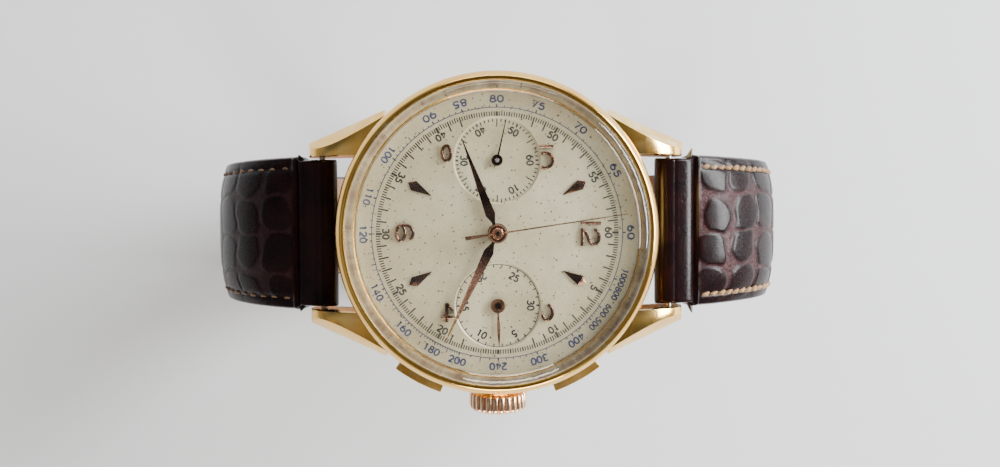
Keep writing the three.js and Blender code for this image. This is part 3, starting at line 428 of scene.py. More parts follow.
def polished(name, bright, deep, roughness, worn, grain=0.4):
    """A polished metal with slow colour drift, fine scratches and duller, paler worn edges."""
    look = Look(name, bright, roughness, 1.0)
    drift = look.cloud(5.0, 3, 0.35, 0.65)
    edge = look.node("ShaderNodeNewGeometry").outputs["Pointiness"]
    wear = look.times(look.range(edge, 0.51, 0.58), look.cloud(1.6, 4, 0.4, 0.6))
    look.color(look.mix(wear, look.mix(drift, bright, deep), worn))
    scratch = look.noise(grain, 4, 0.7, stretch=(1.0, 0.12, 1.0))
    haze = look.noise(1.4, 4, 0.6)
    dull = look.plus(look.times(scratch, 0.10), look.times(haze, 0.12))
    look.roughness(look.plus(dull, roughness - 0.10, clamp=True))
    look.bump(scratch, 0.0018)
    look.bump(look.noise(2.5, 2), 0.006)
    return look.material


def minute_look():
    """Oxidised copper that runs from dark brown at the hub to a worn golden tip."""
    look = Look("fading_copper", (0.4, 0.18, 0.11), 0.2, 1.0)
    out = look.plus(look.radius(), look.times(look.noise(1.2, 2), 0.6 * MM))
    near = look.mix(look.range(out, 3.0 * MM, 6.5 * MM), (0.045, 0.02, 0.014), (0.80, 0.43, 0.31))
    look.color(look.mix(look.range(out, 8.5 * MM, 12.5 * MM), near, (0.80, 0.50, 0.22)))
    look.roughness(look.cloud(0.4, 4, 0.3, 0.7, 0.15, 0.30))
    look.bump(look.noise(1.0, 2), 0.003)
    return look.material


def satin(name, bright, deep, roughness, grain):
    """A satin or frosted metal for the movement."""
    look = Look(name, bright, roughness, 1.0)
    look.color(look.mix(look.cloud(2.0, 3, 0.35, 0.65), bright, deep))
    fine = look.noise(grain, 3, 0.6)
    look.roughness(look.range(fine, 0.3, 0.7, roughness - 0.07, roughness + 0.09))
    look.bump(fine, 0.004)
    return look.material


def dial_look(name, centre=None):
    """Aged silvered enamel with specks and, on a register, fine turned grooves, with painted shade on its
    left side and a brown rim of painted shade and reflection.
    """
    # brown is the colour of the painted shade and reflection at the dial's rim
    silver, warm, brown = (0.390, 0.358, 0.240), (0.312, 0.274, 0.166), (0.085, 0.045, 0.024)
    look = Look(name, silver, 0.42, 0.25)
    cloud = look.cloud(7.0, 4, 0.38, 0.66, roughness=0.6)
    base = look.mix(cloud, silver, warm)
    # painted shade: the dial darkens towards its left, away from the window lamp
    painted_left_shade = look.range(look.axis("X"), 5 * MM, -17 * MM, 0.0, 0.5)
    base = look.mix(painted_left_shade, base, (0.215, 0.187, 0.105))
    grain = look.cloud(0.16, 2, 0.3, 0.7)
    base = look.mix(look.times(grain, 0.22), base, (0.15, 0.128, 0.08))
    from_centre = look.radius()
    # painted shade and reflection: a brown ring at the dial's edge under the crystal wall and bezel, a little
    # stronger on the left away from the window lamp
    ragged = look.times(look.minus(look.noise(1.3, 5, 0.65), 0.5), 1.6 * MM)
    rim = look.range(look.plus(from_centre, ragged), 16.2 * MM, 16.8 * MM)
    left = look.range(look.axis("X"), 13 * MM, -10 * MM, 0.82, 0.86)
    base = look.mix(look.times(rim, left), base, brown)
    for size, limit, strength in ((1.5, 0.075, 0.85), (0.8, 0.085, 0.6), (3.1, 0.045, 0.95)):
        spot = look.range(look.cells(size, flat=True), limit, limit * 0.45)
        base = look.mix(look.times(spot, strength), base, (0.045, 0.03, 0.02))
    look.color(base)
    look.roughness(look.cloud(0.5, 3, 0.3, 0.7, 0.36, 0.50))
    look.bump(look.noise(0.12, 2), 0.0025)
    if centre:
        wave = look.math("SINE", look.times(look.radius(centre), TAU / (0.21 * MM)))
        look.bump(wave, 0.0035)
    return look.material


def ink_look(name, color):
    look = Look(name, color, 0.5)
    faded = tuple(0.8 * c + 0.035 for c in color)
    look.color(look.mix(look.cloud(0.5, 4, 0.5, 0.75, roughness=0.7), color, faded))
    look.bump(look.noise(0.1), 0.002)
    return look.material


def crystal_look():
    """Clear acrylic that lets lamp light through, with faint wear in its roughness."""
    look = Look("clear_acrylic", (1, 1, 1), 0.015, 0.0, Transmission_Weight=1.0, IOR=1.49)
    look.roughness(look.cloud(0.8, 4, 0.45, 0.8, 0.0, 0.05, stretch=(1, 0.2, 1)))
    clear = look.node("ShaderNodeBsdfTransparent")
    clear.inputs["Color"].default_value = (0.97, 0.97, 0.96, 1)
    path = look.node("ShaderNodeLightPath")
    choose = look.node("ShaderNodeMixShader")
    look.links.new(path.outputs["Is Shadow Ray"], choose.inputs["Fac"])
    look.links.new(look.shader.outputs["BSDF"], choose.inputs[1])
    look.links.new(clear.outputs["BSDF"], choose.inputs[2])
    look.links.new(choose.outputs["Shader"], look.nodes["Material Output"].inputs["Surface"])
    return look.material


def crocodile_look():
    """Glazed burgundy crocodile: near-black scale centres, mauve creases whose pale fine lines are partly
    painted highlight, fine pores and wrinkles.
    """
    dark, wine, mauve = (0.0055, 0.0026, 0.0034), (0.013, 0.0042, 0.0045), (0.038, 0.0105, 0.0115)
    look = Look("glazed_crocodile", dark, 0.3, Coat_Weight=0.06, Coat_Roughness=0.12, Specular_IOR_Level=0.11)
    crease = look.attribute("crease")
    smooth = look.attribute("smooth_part")
    tone = look.cloud(3.0, 4, 0.36, 0.66, roughness=0.6)
    base = look.mix(tone, dark, wine)
    fibre = look.cloud(0.35, 5, 0.42, 0.62, roughness=0.7, distortion=1.2)
    tint = look.times(crease, look.plus(look.times(fibre, 0.7), 0.3))
    base = look.mix(tint, base, mauve)
    # pale fine lines in the creases: partly the leather's own wrinkle colour, partly a painted highlight on
    # their ridges
    pale_wrinkle_and_highlight = look.math("ABSOLUTE", look.minus(look.noise(0.9, 5, 0.65, distortion=1.5), 0.5))
    pale_wrinkle_and_highlight = look.times(look.range(pale_wrinkle_and_highlight, 0.035, 0.008), look.math("POWER", crease, 2.0))
    base = look.mix(look.times(pale_wrinkle_and_highlight, 0.8), base, (0.13, 0.065, 0.066))
    rubbed = look.cloud(0.9, 5, 0.56, 0.70, roughness=0.7, stretch=(1, 0.3, 1))
    base = look.mix(look.times(look.times(rubbed, smooth), 0.12), base, (0.045, 0.014, 0.007))
    look.color(base)
    fine = look.noise(0.22, 4, 0.65)
    rough = look.plus(look.range(fine, 0.3, 0.7, 0.17, 0.34), look.times(crease, 0.22))
    look.roughness(look.minus(rough, look.times(smooth, 0.08)))
    wrinkle = look.math("ABSOLUTE", look.minus(look.noise(0.5, 4, 0.6, distortion=0.8), 0.5))
    wrinkled = look.times(wrinkle, look.plus(look.times(crease, 0.8), 0.2))
    look.bump(wrinkled, 0.14)
    look.bump(fine, 0.012)
    pore = look.range(look.cells(0.55), 0.05, 0.16)
    look.bump(pore, 0.012)
    return look.material


def lining_look():
    look = Look("calf_lining", (0.20, 0.10, 0.05), 0.62)
    tone = look.cloud(6.0, 4, 0.35, 0.65, roughness=0.6)
    base = look.mix(tone, (0.23, 0.12, 0.062), (0.14, 0.066, 0.035))
    pore = look.range(look.cells(0.35), 0.1, 0.5)
    look.color(look.mix(look.times(pore, 0.35), base, (0.27, 0.15, 0.085)))
    look.roughness(look.cloud(0.8, 4, 0.3, 0.7, 0.5, 0.72))
    look.bump(pore, 0.03)
    look.bump(look.noise(0.9, 4), 0.05)
    return look.material


def edge_look():
    look = Look("painted_edge", (0.015, 0.008, 0.008), 0.3)
    look.color(look.mix(look.cloud(1.2, 4, 0.5, 0.7), (0.012, 0.007, 0.008), (0.07, 0.03, 0.02)))
    look.roughness(look.cloud(0.6, 3, 0.3, 0.7, 0.22, 0.42))
    look.bump(look.noise(0.5, 4), 0.05)
    return look.material


def thread_look(name, bright, deep):
    """Waxed thread with plies that lie across its length."""
    look = Look(name, bright, 0.55, Sheen_Weight=0.25, Sheen_Roughness=0.4)
    base = look.mix(look.cloud(0.5, 4, 0.35, 0.65, roughness=0.6), bright, deep)
    fibre = look.noise(0.07, 3, 0.6, stretch=(1, 0.4, 1))
    look.color(look.mix(look.range(fibre, 0.45, 0.7), base, deep))
    look.roughness(look.range(fibre, 0.3, 0.7, 0.45, 0.7))
    look.bump(fibre, 0.03)
    return look.material


def floor_look():
    look = Look("pale_floor", (0.78, 0.79, 0.81), 0.6)
    tone = look.cloud(120, 2, 0.3, 0.7)
    look.color(look.mix(tone, (0.78, 0.79, 0.81), (0.80, 0.805, 0.815)))
    return look.material


GOLD = polished("polished_gold", (1.0, 0.63, 0.16), (0.91, 0.50, 0.11), 0.17, (1.0, 0.80, 0.40))
CROWN_GOLD = polished("crown_gold", (1.0, 0.64, 0.40), (0.80, 0.42, 0.22), 0.22, (1.0, 0.80, 0.62))
PUSHER_GOLD = polished("brushed_gold", (1.0, 0.57, 0.13), (0.60, 0.30, 0.05), 0.30, (1.0, 0.80, 0.42), 0.7)
COPPER = polished("copper_hands", (0.55, 0.26, 0.14), (0.32, 0.135, 0.075), 0.19, (0.80, 0.48, 0.32), 0.25)
MARKER = polished("aged_rose_gold", (0.16, 0.082, 0.055), (0.06, 0.03, 0.022), 0.16, (0.5, 0.32, 0.22), 0.6)
DART = polished("dark_rose_gold", (0.085, 0.040, 0.028), (0.030, 0.014, 0.011), 0.16, (0.30, 0.16, 0.10), 0.4)
# dark blued steel for hands and pivots, also used as painted shade in the sweep hub's groove
DARK_STEEL_AND_GROOVE_SHADE = polished(
    "dark_blued_steel_and_groove_shade", (0.028, 0.013, 0.012), (0.012, 0.006, 0.006), 0.2, (0.12, 0.06, 0.04), 0.25
)
STEEL = satin("satin_steel", (0.62, 0.63, 0.65), (0.50, 0.51, 0.54), 0.27, 0.15)
BRASS = satin("movement_brass", (0.78, 0.58, 0.26), (0.66, 0.46, 0.18), 0.3, 0.2)
GILT = satin("frosted_gilt", (0.80, 0.66, 0.42), (0.70, 0.55, 0.32), 0.42, 0.08)
BLUED = satin("hairspring_blue", (0.10, 0.12, 0.28), (0.06, 0.07, 0.2), 0.25, 0.1)
CROCODILE = crocodile_look()
LINING = lining_look()
EDGE = edge_look()
STRAP_LOOKS = [CROCODILE, LINING, EDGE]


# ---------------------------------------------------------------- case
def cylinder(name, radius, low, high, x, y, facets=64):
    shape = turned([(0, low), (radius, low), (radius, high), (0, high)], facets, centre=(x, y))
    return mesh_object(name, *shape)


def rod(name, radius, start, end, x, z):
    """A round bar from y = start to y = end."""
    shape = turned([(0, -end), (radius, -end), (radius, -start), (0, -start)], 32)
    return mesh_object(name, *along_y(shape, x, z))


def lug(side_x, side_y):
    top = smooth_curve([(22.6, 2.6), (22.1, 4.2), (20.8, 5.6), (18.6, 6.7), (16.0, 7.25), (13.0, 7.5)], 5)
    under = smooth_curve([(13.0, 1.9), (17.6, 1.75), (20.3, 0.8), (21.6, 0.55), (22.4, 1.2), (22.6, 2.6)], 5)
    outline = under[:-1] + top
    shape = loft([[(x, y, z) for x, z in outline] for y in (LUG_HALF, 15.0)])
    made = mesh_object("lug", *shape)
    clip(made, (22.75, 10.4, 0), (1, 0.9, 0))
    clip(made, (21.9, 11.0, 0), (3.6, 9.5, 0))
    facet = [Vector(p) for p in ((17.2, 11.2, 7.1), (22.5, 9.9, 4.3), (14.0, 14.9, 4.6))]
    normal = (facet[1] - facet[0]).cross(facet[2] - facet[0])
    clip(made, facet[0], normal if normal.z > 0 else -normal)
    soften(made, 0.13, 2, least=22)
    boolean(made, cylinder("core", 17.5, -5, 15, 0, 0, FINE))
    made.data.transform(Matrix.Diagonal((side_x, side_y, 1, 1)))
    if side_x * side_y < 0:
        made.data.flip_normals()
    return made


def case_middle():
    profile = rounded(
        [(15.7, 1.65), (17.6, 1.65), (18.3, 2.3), (18.6, 4.4), (18.45, 6.8), (17.9, 7.95), (17.1, 7.95),
         (17.1, 6.98), (15.7, 6.98)],
        [0.05, 0.2, 0.4, 1.2, 0.5, 0.12, 0.05, 0.02, 0.02],
    )
    made = mesh_object("case_body", *turned(profile, FINE, closed=True))
    for side_x in (1, -1):
        for side_y in (1, -1):
            boolean(made, lug(side_x, side_y), "UNION")
    for side in (1, -1):
        middle = 270 + side * PUSHER_ANGLE
        reach = PUSHER_HALF + 0.5
        angles = np.linspace(middle - reach, middle + reach, 13)
        outline = [polar(22, a) for a in angles] + [polar(16.95, a) for a in angles[::-1]]
        boolean(made, mesh_object("pocket", *prism(outline, 2.15, 5.85)))
        stem = rod("stem_hole", 0.76, 14, 19, 0, PUSHER_Z)
        stem.data.transform(turn_z(180 + side * PUSHER_ANGLE))
        boolean(made, stem)
        boolean(made, rod("bar_hole", 0.45, -10.1, 10.1, side * BAR_X, BAR_Z))
    boolean(made, rod("tube_hole", 1.15, -20, -15, 0, CROWN_Z))
    shade(made, 28)
    return dress(made, GOLD, "head", "gold", "case_middle")


def bezel():
    outside = [(16.9, 8.0), (18.2, 8.0), (18.5, 8.35), (18.5, 8.62), (18.3, 9.05), (17.8, 9.7), (17.32, 9.7)]
    radii = [0.05, 0.1, 0.12, 0.15, 0.6, 0.22, 0.08, 0.02, 0.05]
    profile = rounded([*outside, (17.32, 8.4), (16.9, 8.4)], radii, 4)
    made = mesh_object("bezel_ring", *turned(profile, FINE, closed=True), sharp=40)
    return dress(made, GOLD, "head", "gold", "bezel")


def dome(radius, edge, top, steps):
    """Points from the rim of a shallow dome up to its middle."""
    sag = top - edge
    sphere = (radius**2 + sag**2) / (2 * sag)
    radii = radius * (1 - np.arange(steps + 1) / steps)
    return [(r, top - sphere + math.sqrt(sphere**2 - r * r)) for r in radii]


def crystal():
    wall, foot, shoulder, top = 1.0, CRYSTAL_LOW[2], 10.35, CRYSTAL_HIGH[2]
    outside = dome(CRYSTAL_R - 0.5, shoulder + 0.02, top, 24)
    inside = dome(CRYSTAL_R - wall - 0.4, shoulder - 0.85, top - wall, 24)[::-1]
    shoulder_out = [(CRYSTAL_R, foot), (CRYSTAL_R, shoulder - 0.75)]
    for t in np.linspace(0.2, 0.9, 5):
        shoulder_out.append((CRYSTAL_R - 0.5 * t * t, shoulder - 0.75 + 0.75 * t**0.6))
    shoulder_in = []
    for t in np.linspace(0.9, 0.1, 5):
        shoulder_in.append((CRYSTAL_R - wall - 0.4 * t * t, shoulder - 1.35 + 0.5 * t**0.6))
    profile = [*inside, *shoulder_in, (CRYSTAL_R - wall, foot), *shoulder_out, *outside]
    made = mesh_object("crystal_dome", *turned(profile, FINE), sharp=60)
    return dress(made, crystal_look(), "head", "crystal", "crystal")


def case_back():
    outside = [(13.9, 0), (14.15, 0.06), (14.4, 0.03), (16.6, 0.45), (17.5, 1.2), (17.5, 1.63)]
    inside = [(15.65, 1.63), (15.65, 2.4), (15.25, 2.4), (15.25, 0.75), (0, 0.75)]
    made = mesh_object("snap_back", *turned([(0, 0), *rounded(outside, 0.2, 3), *inside], FINE))
    return dress(made, GOLD, "head", "gold", "case_back")


# ---------------------------------------------------------------- crown and pushers
def crown():
    """A fluted crown with rounded flutes, a domed end and a recess over its tube."""
    flutes, per_flute = 26, 10
    length = CROWN_HIGH[1] - CROWN_LOW[1]
    around = np.arange(flutes * per_flute) / (flutes * per_flute) * TAU
    ridge = np.abs(np.cos(flutes / 2 * around)) ** 0.42
    stations = [  # distance from the case, radius, depth of the flutes
        (1.15, 1.45, 0),
        (0.1, 1.5, 0),
        (0.0, 1.62, 0),
        (0.0, 2.75, 0),
        (0.06, 2.95, 0),
        (0.22, CROWN_R - 0.33, 0),
        (0.36, CROWN_R - 0.1, 0.22),
        (0.55, CROWN_R, 0.34),
        (length - 1.0, CROWN_R, 0.34),
        (length - 0.72, CROWN_R - 0.08, 0.27),
        (length - 0.55, CROWN_R - 0.3, 0.1),
        (length - 0.45, CROWN_R - 0.5, 0),
        (length - 0.3, CROWN_R - 0.9, 0),
        (length - 0.12, 1.8, 0),
        (length - 0.02, 0.8, 0),
    ]
    rings = []
    for along, radius, depth in stations:
        r = radius - depth * (1 - ridge)
        rings.append(np.stack([r * np.cos(around), r * np.sin(around), np.full_like(r, along)], 1))
    shape = along_y(loft(rings), 0, CROWN_Z)
    made = mesh_object("fluted_crown", *shape, sharp=50)
    made.data.transform(Matrix.Translation((0, CROWN_HIGH[1] * MM, 0)))
    return dress(made, CROWN_GOLD, "crown", "gold", "crown")


def pusher(name, side, node, body):
    middle = 270 + side * PUSHER_ANGLE
    angles = np.linspace(middle - PUSHER_HALF, middle + PUSHER_HALF, 17)
    outline = [polar(20.08, a) for a in angles] + [polar(18.02, a) for a in angles[::-1]]
    low, high = box_mm(node)
    made = slab(name, outline, low[2] + 0.01, high[2] - 0.01, 0.14, 3)
    stem = rod("stem", 0.68, 14.95, 18.5, 0, PUSHER_Z)
    stem.data.transform(turn_z(180 + side * PUSHER_ANGLE))
    boolean(made, stem, "UNION")
    shade(made, 28)
    return dress(made, PUSHER_GOLD, body, "gold", node)


# ---------------------------------------------------------------- dial
def register_wall(side):
    """The sunk floor of a register with its bevelled step, as one turned plate."""
    low, floor, wall = DIAL_LOW[2] + 0.05, DIAL_TOP - REGISTER_SINK, REGISTER_R - 0.01
    profile = [(0.34, low), (0.34, floor), (REGISTER_R - 0.2, floor), (REGISTER_R - 0.17, floor + 0.01)]
    profile += [(wall, DIAL_TOP - 0.004), (wall, low)]
    shape = turned(profile, 128, closed=True, centre=(0, side * REGISTER_OFFSET))
    return mesh_object("register", *shape, sharp=20)


def dial():
    low = DIAL_LOW[2]
    edge = [(DIAL_R, low), (DIAL_R, DIAL_TOP - 0.05), (DIAL_R - 0.05, DIAL_TOP)]
    made = mesh_object("dial_plate", *turned([(0.95, low), *edge, (0.95, DIAL_TOP)], closed=True))
    for side in (1, -1):
        boolean(made, cylinder("sink", REGISTER_R, 0, 20, 0, side * REGISTER_OFFSET, 128))
    shade(made, 20)
    dress(made, dial_look("silvered_dial"), "head", "dial", "dial")
    for side, name in ((1, "seconds_register"), (-1, "minutes_register")):
        plate = register_wall(side)
        plate.name = name
        dress(plate, dial_look("turned_" + name, (0, side * REGISTER_OFFSET)), "head", "dial")


def arc(x, y, rx, ry, start, end, steps=10):
    angles = np.radians(np.linspace(start, end, steps + 1))
    return [(x + rx * math.cos(a), y + ry * math.sin(a)) for a in angles]


# Each figure is one high: a list of strokes, drawn upright with its foot at zero.
FIGURES = {
    "0": [arc(0.34, 0.5, 0.28, 0.44, 90, 450, 20)],
    "1": [[(0.18, 0.78), (0.36, 0.94)], [(0.36, 0.97), (0.36, 0.03)]],
    "2": [[*arc(0.34, 0.7, 0.26, 0.25, 165, -35), (0.07, 0.07)], [(0.05, 0.06), (0.63, 0.06)]],
    "3": [arc(0.31, 0.73, 0.24, 0.22, 155, -80), arc(0.31, 0.29, 0.28, 0.24, 85, -155)],
    "4": [[(0.46, 0.03), (0.46, 0.95), (0.04, 0.3)], [(0.02, 0.28), (0.66, 0.28)]],
    "5": [
        [(0.56, 0.93), (0.16, 0.93)],
        [(0.17, 0.94), (0.12, 0.52)],
        arc(0.31, 0.33, 0.28, 0.27, 130, -155, 14),
    ],
    "6": [arc(0.34, 0.32, 0.26, 0.27, 90, 450, 18), arc(0.52, 0.34, 0.45, 0.62, 110, 180)],
    "7": [[(0.06, 0.93), (0.62, 0.93), (0.26, 0.03)]],
    "8": [arc(0.34, 0.72, 0.21, 0.22, 90, 450, 16), arc(0.34, 0.28, 0.27, 0.24, 90, 450, 18)],
    "9": [arc(0.34, 0.68, 0.26, 0.27, 90, 450, 18), arc(0.16, 0.66, 0.45, 0.62, -70, 0)],
}
FIGURE_PITCH = 0.78
INK_HIGH = 0.014


def stroke_shape(points, width, low, high):
    left, right = ribbon(points, width)
    shapes = []
    for i in range(len(points) - 1):
        shapes.append(prism([left[i], left[i + 1], right[i + 1], right[i]], low, high))
    return merged(*shapes)


class Print:
    """Printing on the dial: thin raised strokes gathered into one mesh."""

    def __init__(self, level):
        self.low, self.high = level - 0.004, level + INK_HIGH
        self.shapes = []

    def line(self, points, width):
        self.shapes.append(stroke_shape(points, width, self.low, self.high))

    def tick(self, centre, degrees, inner, outer, width):
        (ax, ay), (bx, by) = polar(inner, degrees), polar(outer, degrees)
        x, y = centre
        self.line([(x + ax, y + ay), (x + bx, y + by)], width)

    def ring(self, centre, radius, width, steps=240):
        points = [polar(radius, 360 * i / steps) for i in range(steps + 1)]
        self.line([(centre[0] + x, centre[1] + y) for x, y in points], width)

    def number(self, text, centre, degrees, radius, height, weight, outward=True, squeeze=1.0):
        """A number whose middle lies at a polar place, its top away from the centre or towards it."""
        turn = math.radians(degrees - 90 if outward else degrees + 90)
        x, y = polar(radius, degrees)
        across = FIGURE_PITCH * squeeze * height
        for i, figure in enumerate(text):
            start = (i - len(text) / 2) * across + 0.05 * height
            for points in FIGURES[figure]:
                placed = []
                for u, v in points:
                    a, b = start + u * height * squeeze, (v - 0.5) * height
                    placed.append((
                        centre[0] + x + a * math.cos(turn) - b * math.sin(turn),
                        centre[1] + y + a * math.sin(turn) + b * math.cos(turn),
                    ))
                self.line(placed, weight)

    def finish(self, name, material):
        return dress(mesh_object(name, *merged(*self.shapes)), material, "head", "dial")


def clockwise(minutes_of_sixty):
    """The direction of a minute on the dial, in degrees from +X."""
    return -6 * minutes_of_sixty


def reads_outward(degrees_from_twelve):
    return degrees_from_twelve <= 90 or degrees_from_twelve >= 270


def over_register(x, y, margin=0.0):
    return min(math.hypot(x, y - s * REGISTER_OFFSET) for s in (1, -1)) < REGISTER_R + margin


BLACK = ink_look("black_print", (0.006, 0.005, 0.005))
BLUE = ink_look("blue_grey_print", (0.008, 0.016, 0.060))
TACHYMETER = (1000, 800, 600, 500, 400, 300, 240, *range(200, 100, -20), 110, 100, *range(90, 55, -5))


def minute_track():
    marks = Print(DIAL_TOP)
    for fifth in range(300):
        direction = clockwise(fifth / 5)
        five_minutes, minute = fifth % 25 == 0, fifth % 5 == 0
        short = 13.42
        inner = 13.2 if five_minutes else 12.75 if minute else short
        beside = minute and not five_minutes and over_register(*polar(13.0, direction), 0.25)
        if beside or over_register(*polar(12.9, direction), 0.2):
            inner = short
        marks.tick((0, 0), direction, inner, 13.93, 0.28 if five_minutes else 0.17 if minute else 0.13)
    for minute in range(5, 65, 5):
        if minute in (15, 45):  # the registers lie there
            continue
        outward = reads_outward(6 * minute)
        marks.number(str(minute), (0, 0), clockwise(minute), 12.78, 0.8, 0.2, outward, 1.05)
    marks.finish("minute_track", BLACK)


def tachymeter():
    marks = Print(DIAL_TOP)
    marks.ring((0, 0), RING_R, 0.09)
    for speed in TACHYMETER:
        direction = 6 * 3600 / speed
        close = speed >= 500
        # the two fastest would run into each other, so they stand a little apart
        shown = 20 if speed == 1000 else 27.3 if speed == 800 else direction
        marks.number(str(speed), (0, 0), -shown, 15.38, 0.74 if close else 0.86, 0.16 if close else 0.2,
                     reads_outward(direction), 0.95 if close else 1.3 - 0.25 * (speed > 99))
        marks.tick((0, 0), -direction, RING_R, RING_R + 0.34, 0.16)
    for first, last, step in ((60, 100, 1), (100, 200, 2), (200, 300, 10), (300, 600, 20)):
        for speed in range(first, last, step):
            long = speed in (150, 170, 190, 220, 130, 105, 115, 95)
            marks.tick((0, 0), -6 * 3600 / speed, RING_R, RING_R + (0.55 if long else 0.24), 0.1)
    marks.finish("tachymeter_scale", BLUE)


def register_scales():
    floor = DIAL_TOP - REGISTER_SINK
    for side, count, numbers in ((1, 60, range(10, 70, 10)), (-1, 30, range(5, 35, 5))):
        centre = (0, side * REGISTER_OFFSET)
        marks = Print(floor)
        if side < 0:
            marks.ring(centre, REGISTER_R - 0.24, 0.07, 160)
        for i in range(count):
            direction = -360 / count * i
            numbered = i % min(numbers) == 0
            between = count == 60 and i % 10 == 5
            inner = 3.95 if between else 4.42
            marks.tick(centre, direction, inner, 4.76, 0.2 if numbered else 0.13)
        for number in numbers:
            degrees = 360 / count * number
            marks.number(str(number), centre, -degrees, 3.78, 0.84, 0.19, reads_outward(degrees), 0.95)
        marks.finish("seconds_print" if side == 1 else "minutes_print", BLACK)


# ---------------------------------------------------------------- applied markers and numerals
def dart(hour):
    """A faceted dart: a long point inwards, a blunt end outwards and a ridge along its middle."""
    tip, widest, end, half = 8.65, 11.0, 11.75, 0.62
    foot, wall, ridge = DIAL_TOP + 0.02, DIAL_TOP + 0.2, MARKER_TOP
    rim = [(tip, 0), (widest, -half), (end, 0), (widest, half)]
    vertices = [(x, y, foot) for x, y in rim] + [(x, y, wall) for x, y in rim] + [(widest - 0.1, 0, ridge)]
    faces = [(3, 2, 1, 0)]
    for k in range(4):
        n = (k + 1) % 4
        faces += [(k, n, 4 + n, 4 + k), (4 + k, 4 + n, 8)]
    made = mesh_object(f"dart_{hour}", *moved((vertices, faces), turn_z(-30 * hour)))
    soften(made, 0.03, 2, least=15)
    return dress(made, DART, "head", "rose_gold", f"marker_{hour}")


H = 1.15  # half the height of an applied numeral
FOOT = 0.18 - H
NUMERAL_STROKES = {
    "0": [arc(0, 0, 0.86, H - 0.18, 90, 450, 32)],
    "1": [[(0, -H), (0, 0), (0, H)]],
    "2": [
        smooth_curve(
            [
                *arc(0, 0.32, 0.86, 0.66, 170, -25, 8),
                *[(0.45, -0.14), (-0.1, -0.38), (-0.6, -0.64), (-0.84, FOOT)],
            ],
            4,
        ),
        [(-1.02, FOOT), (0, FOOT), (1.02, FOOT)],
    ],
    "4": [[(0.55, -H), (0.55, H)], [(0.55, H - 0.12), (-0.98, -0.45)], [(-1.12, -0.48), (1.1, -0.48)]],
    "6": [arc(0, -0.47, 0.88, 0.5, 90, 450, 28), arc(0, 0, 0.92, H - 0.18, 205, 35, 16)],
    "8": [arc(0, 0, 0.86, 0.5, 90, 450, 28)],  # the register covers its upper loop
}
NUMERALS = [
    ("numeral_12_tens", "1", 10.7, 1.11),
    ("numeral_12_units", "2", 10.7, -0.48),
    ("numeral_2", "2", 5.31, -9.13),
    ("numeral_4", "4", -5.4, -9.05),
    ("numeral_6", "6", -10.6, 0.1),
    ("numeral_8", "8", -5.76, 9.17),
    ("numeral_10_tens", "1", 5.3, 9.89),
    ("numeral_10_units", "0", 5.45, 8.31),
]


def rounded_stroke(points, width, low, high):
    """A stroke whose top is convex: a half-round section led along (x, y) points."""
    sides = 8
    loop = math.dist(points[0], points[-1]) < 1e-3
    if loop:
        left, right = ribbon([points[-2], *points, points[1]], width)
        left, right = left[1:-2], right[1:-2]
    else:
        left, right = ribbon(points, width)
    rings = []
    for (lx, ly), (rx, ry) in zip(left, right):
        ring = [(rx, ry, low)]
        for k in range(sides + 1):
            t = k / sides
            rise = math.sin(math.pi * t) ** 0.6
            across = 0.5 - 0.5 * math.cos(math.pi * t)
            z = low + 0.16 + (high - low - 0.16) * rise
            ring.append((rx + (lx - rx) * across, ry + (ly - ry) * across, z))
        ring.append((lx, ly, low))
        rings.append(ring)
    return loft(rings, closed_ends=loop)


def numeral(node, value, x, y):
    foot = DIAL_TOP + 0.02
    made = None
    for points in NUMERAL_STROKES[value]:
        placed = [(x + v, y - u) for u, v in points]
        part = mesh_object(node + "_applied", *rounded_stroke(placed, 0.38, foot, MARKER_TOP), sharp=40)
        if made:
            boolean(made, part, "UNION")
        else:
            made = part
    for side in (1, -1):
        if math.hypot(x, y - side * REGISTER_OFFSET) < REGISTER_R + 2.5:
            boolean(made, cylinder("edge", REGISTER_R + 0.12, 5, 10, 0, side * REGISTER_OFFSET, 96))
    shade(made, 40)
    return dress(made, MARKER, "head", "rose_gold", node)


# ---------------------------------------------------------------- hands
def blade(stations, low, top, ridge):
    """A hand's blade along +X: (x, half width) stations with a ridge along its middle."""
    rings = []
    for x, half in stations:
        lift = ridge * min(1.0, half / 0.3)
        rings.append([(x, -half, low), (x, half, low), (x, half, top), (x, 0, top + lift), (x, -half, top)])
    return loft(rings)


def hub(rings, low):
    """A turned hub: (radius, height) steps from the outside in, over a flat foot."""
    profile = [(0, low), (rings[0][0], low), *rings, (0, rings[-1][1])]
    return turned(profile, 64)


def hand(name, node, body, material, slot, direction, centre, blades, hub_shape):
    place = Matrix.Translation((*centre, 0)) @ turn_z(-direction)
    shape = merged(*[moved(each, place) for each in blades], moved(hub_shape, place))
    made = mesh_object(name, *shape, sharp=25)
    return dress(made, material, body, slot, node)


def main_hand(length):
    """Stations of the hour or minute hand, widest at its base and nearly straight to its tip."""
    half, base, tip = 0.57, 2.3, 0.03
    along = (0.2, 0.4, 0.6, 0.8, 0.93, 1.0)
    taper = [(base + (length - base) * t, tip + (half - tip) * (1 - t) ** 1.05) for t in along]
    return [(0.6, 0.2), (1.35, 0.2), (base, half), *taper]


def hub_inset(name, body, centre, inner, outer, low, high, material=DARK_STEEL_AND_GROOVE_SHADE, slot="dark_hand"):
    """A ring or dot of another colour let into a hub."""
    rim = [(outer, low), (outer, high - 0.02), (outer - 0.02, high)]
    if inner:
        shape = turned([(inner, low), *rim, (inner, high)], 64, closed=True, centre=centre)
    else:
        shape = turned([(0, low), *rim, (0, high + 0.01)], 64, centre=centre)
    dress(mesh_object(name, *shape), material, body, slot)


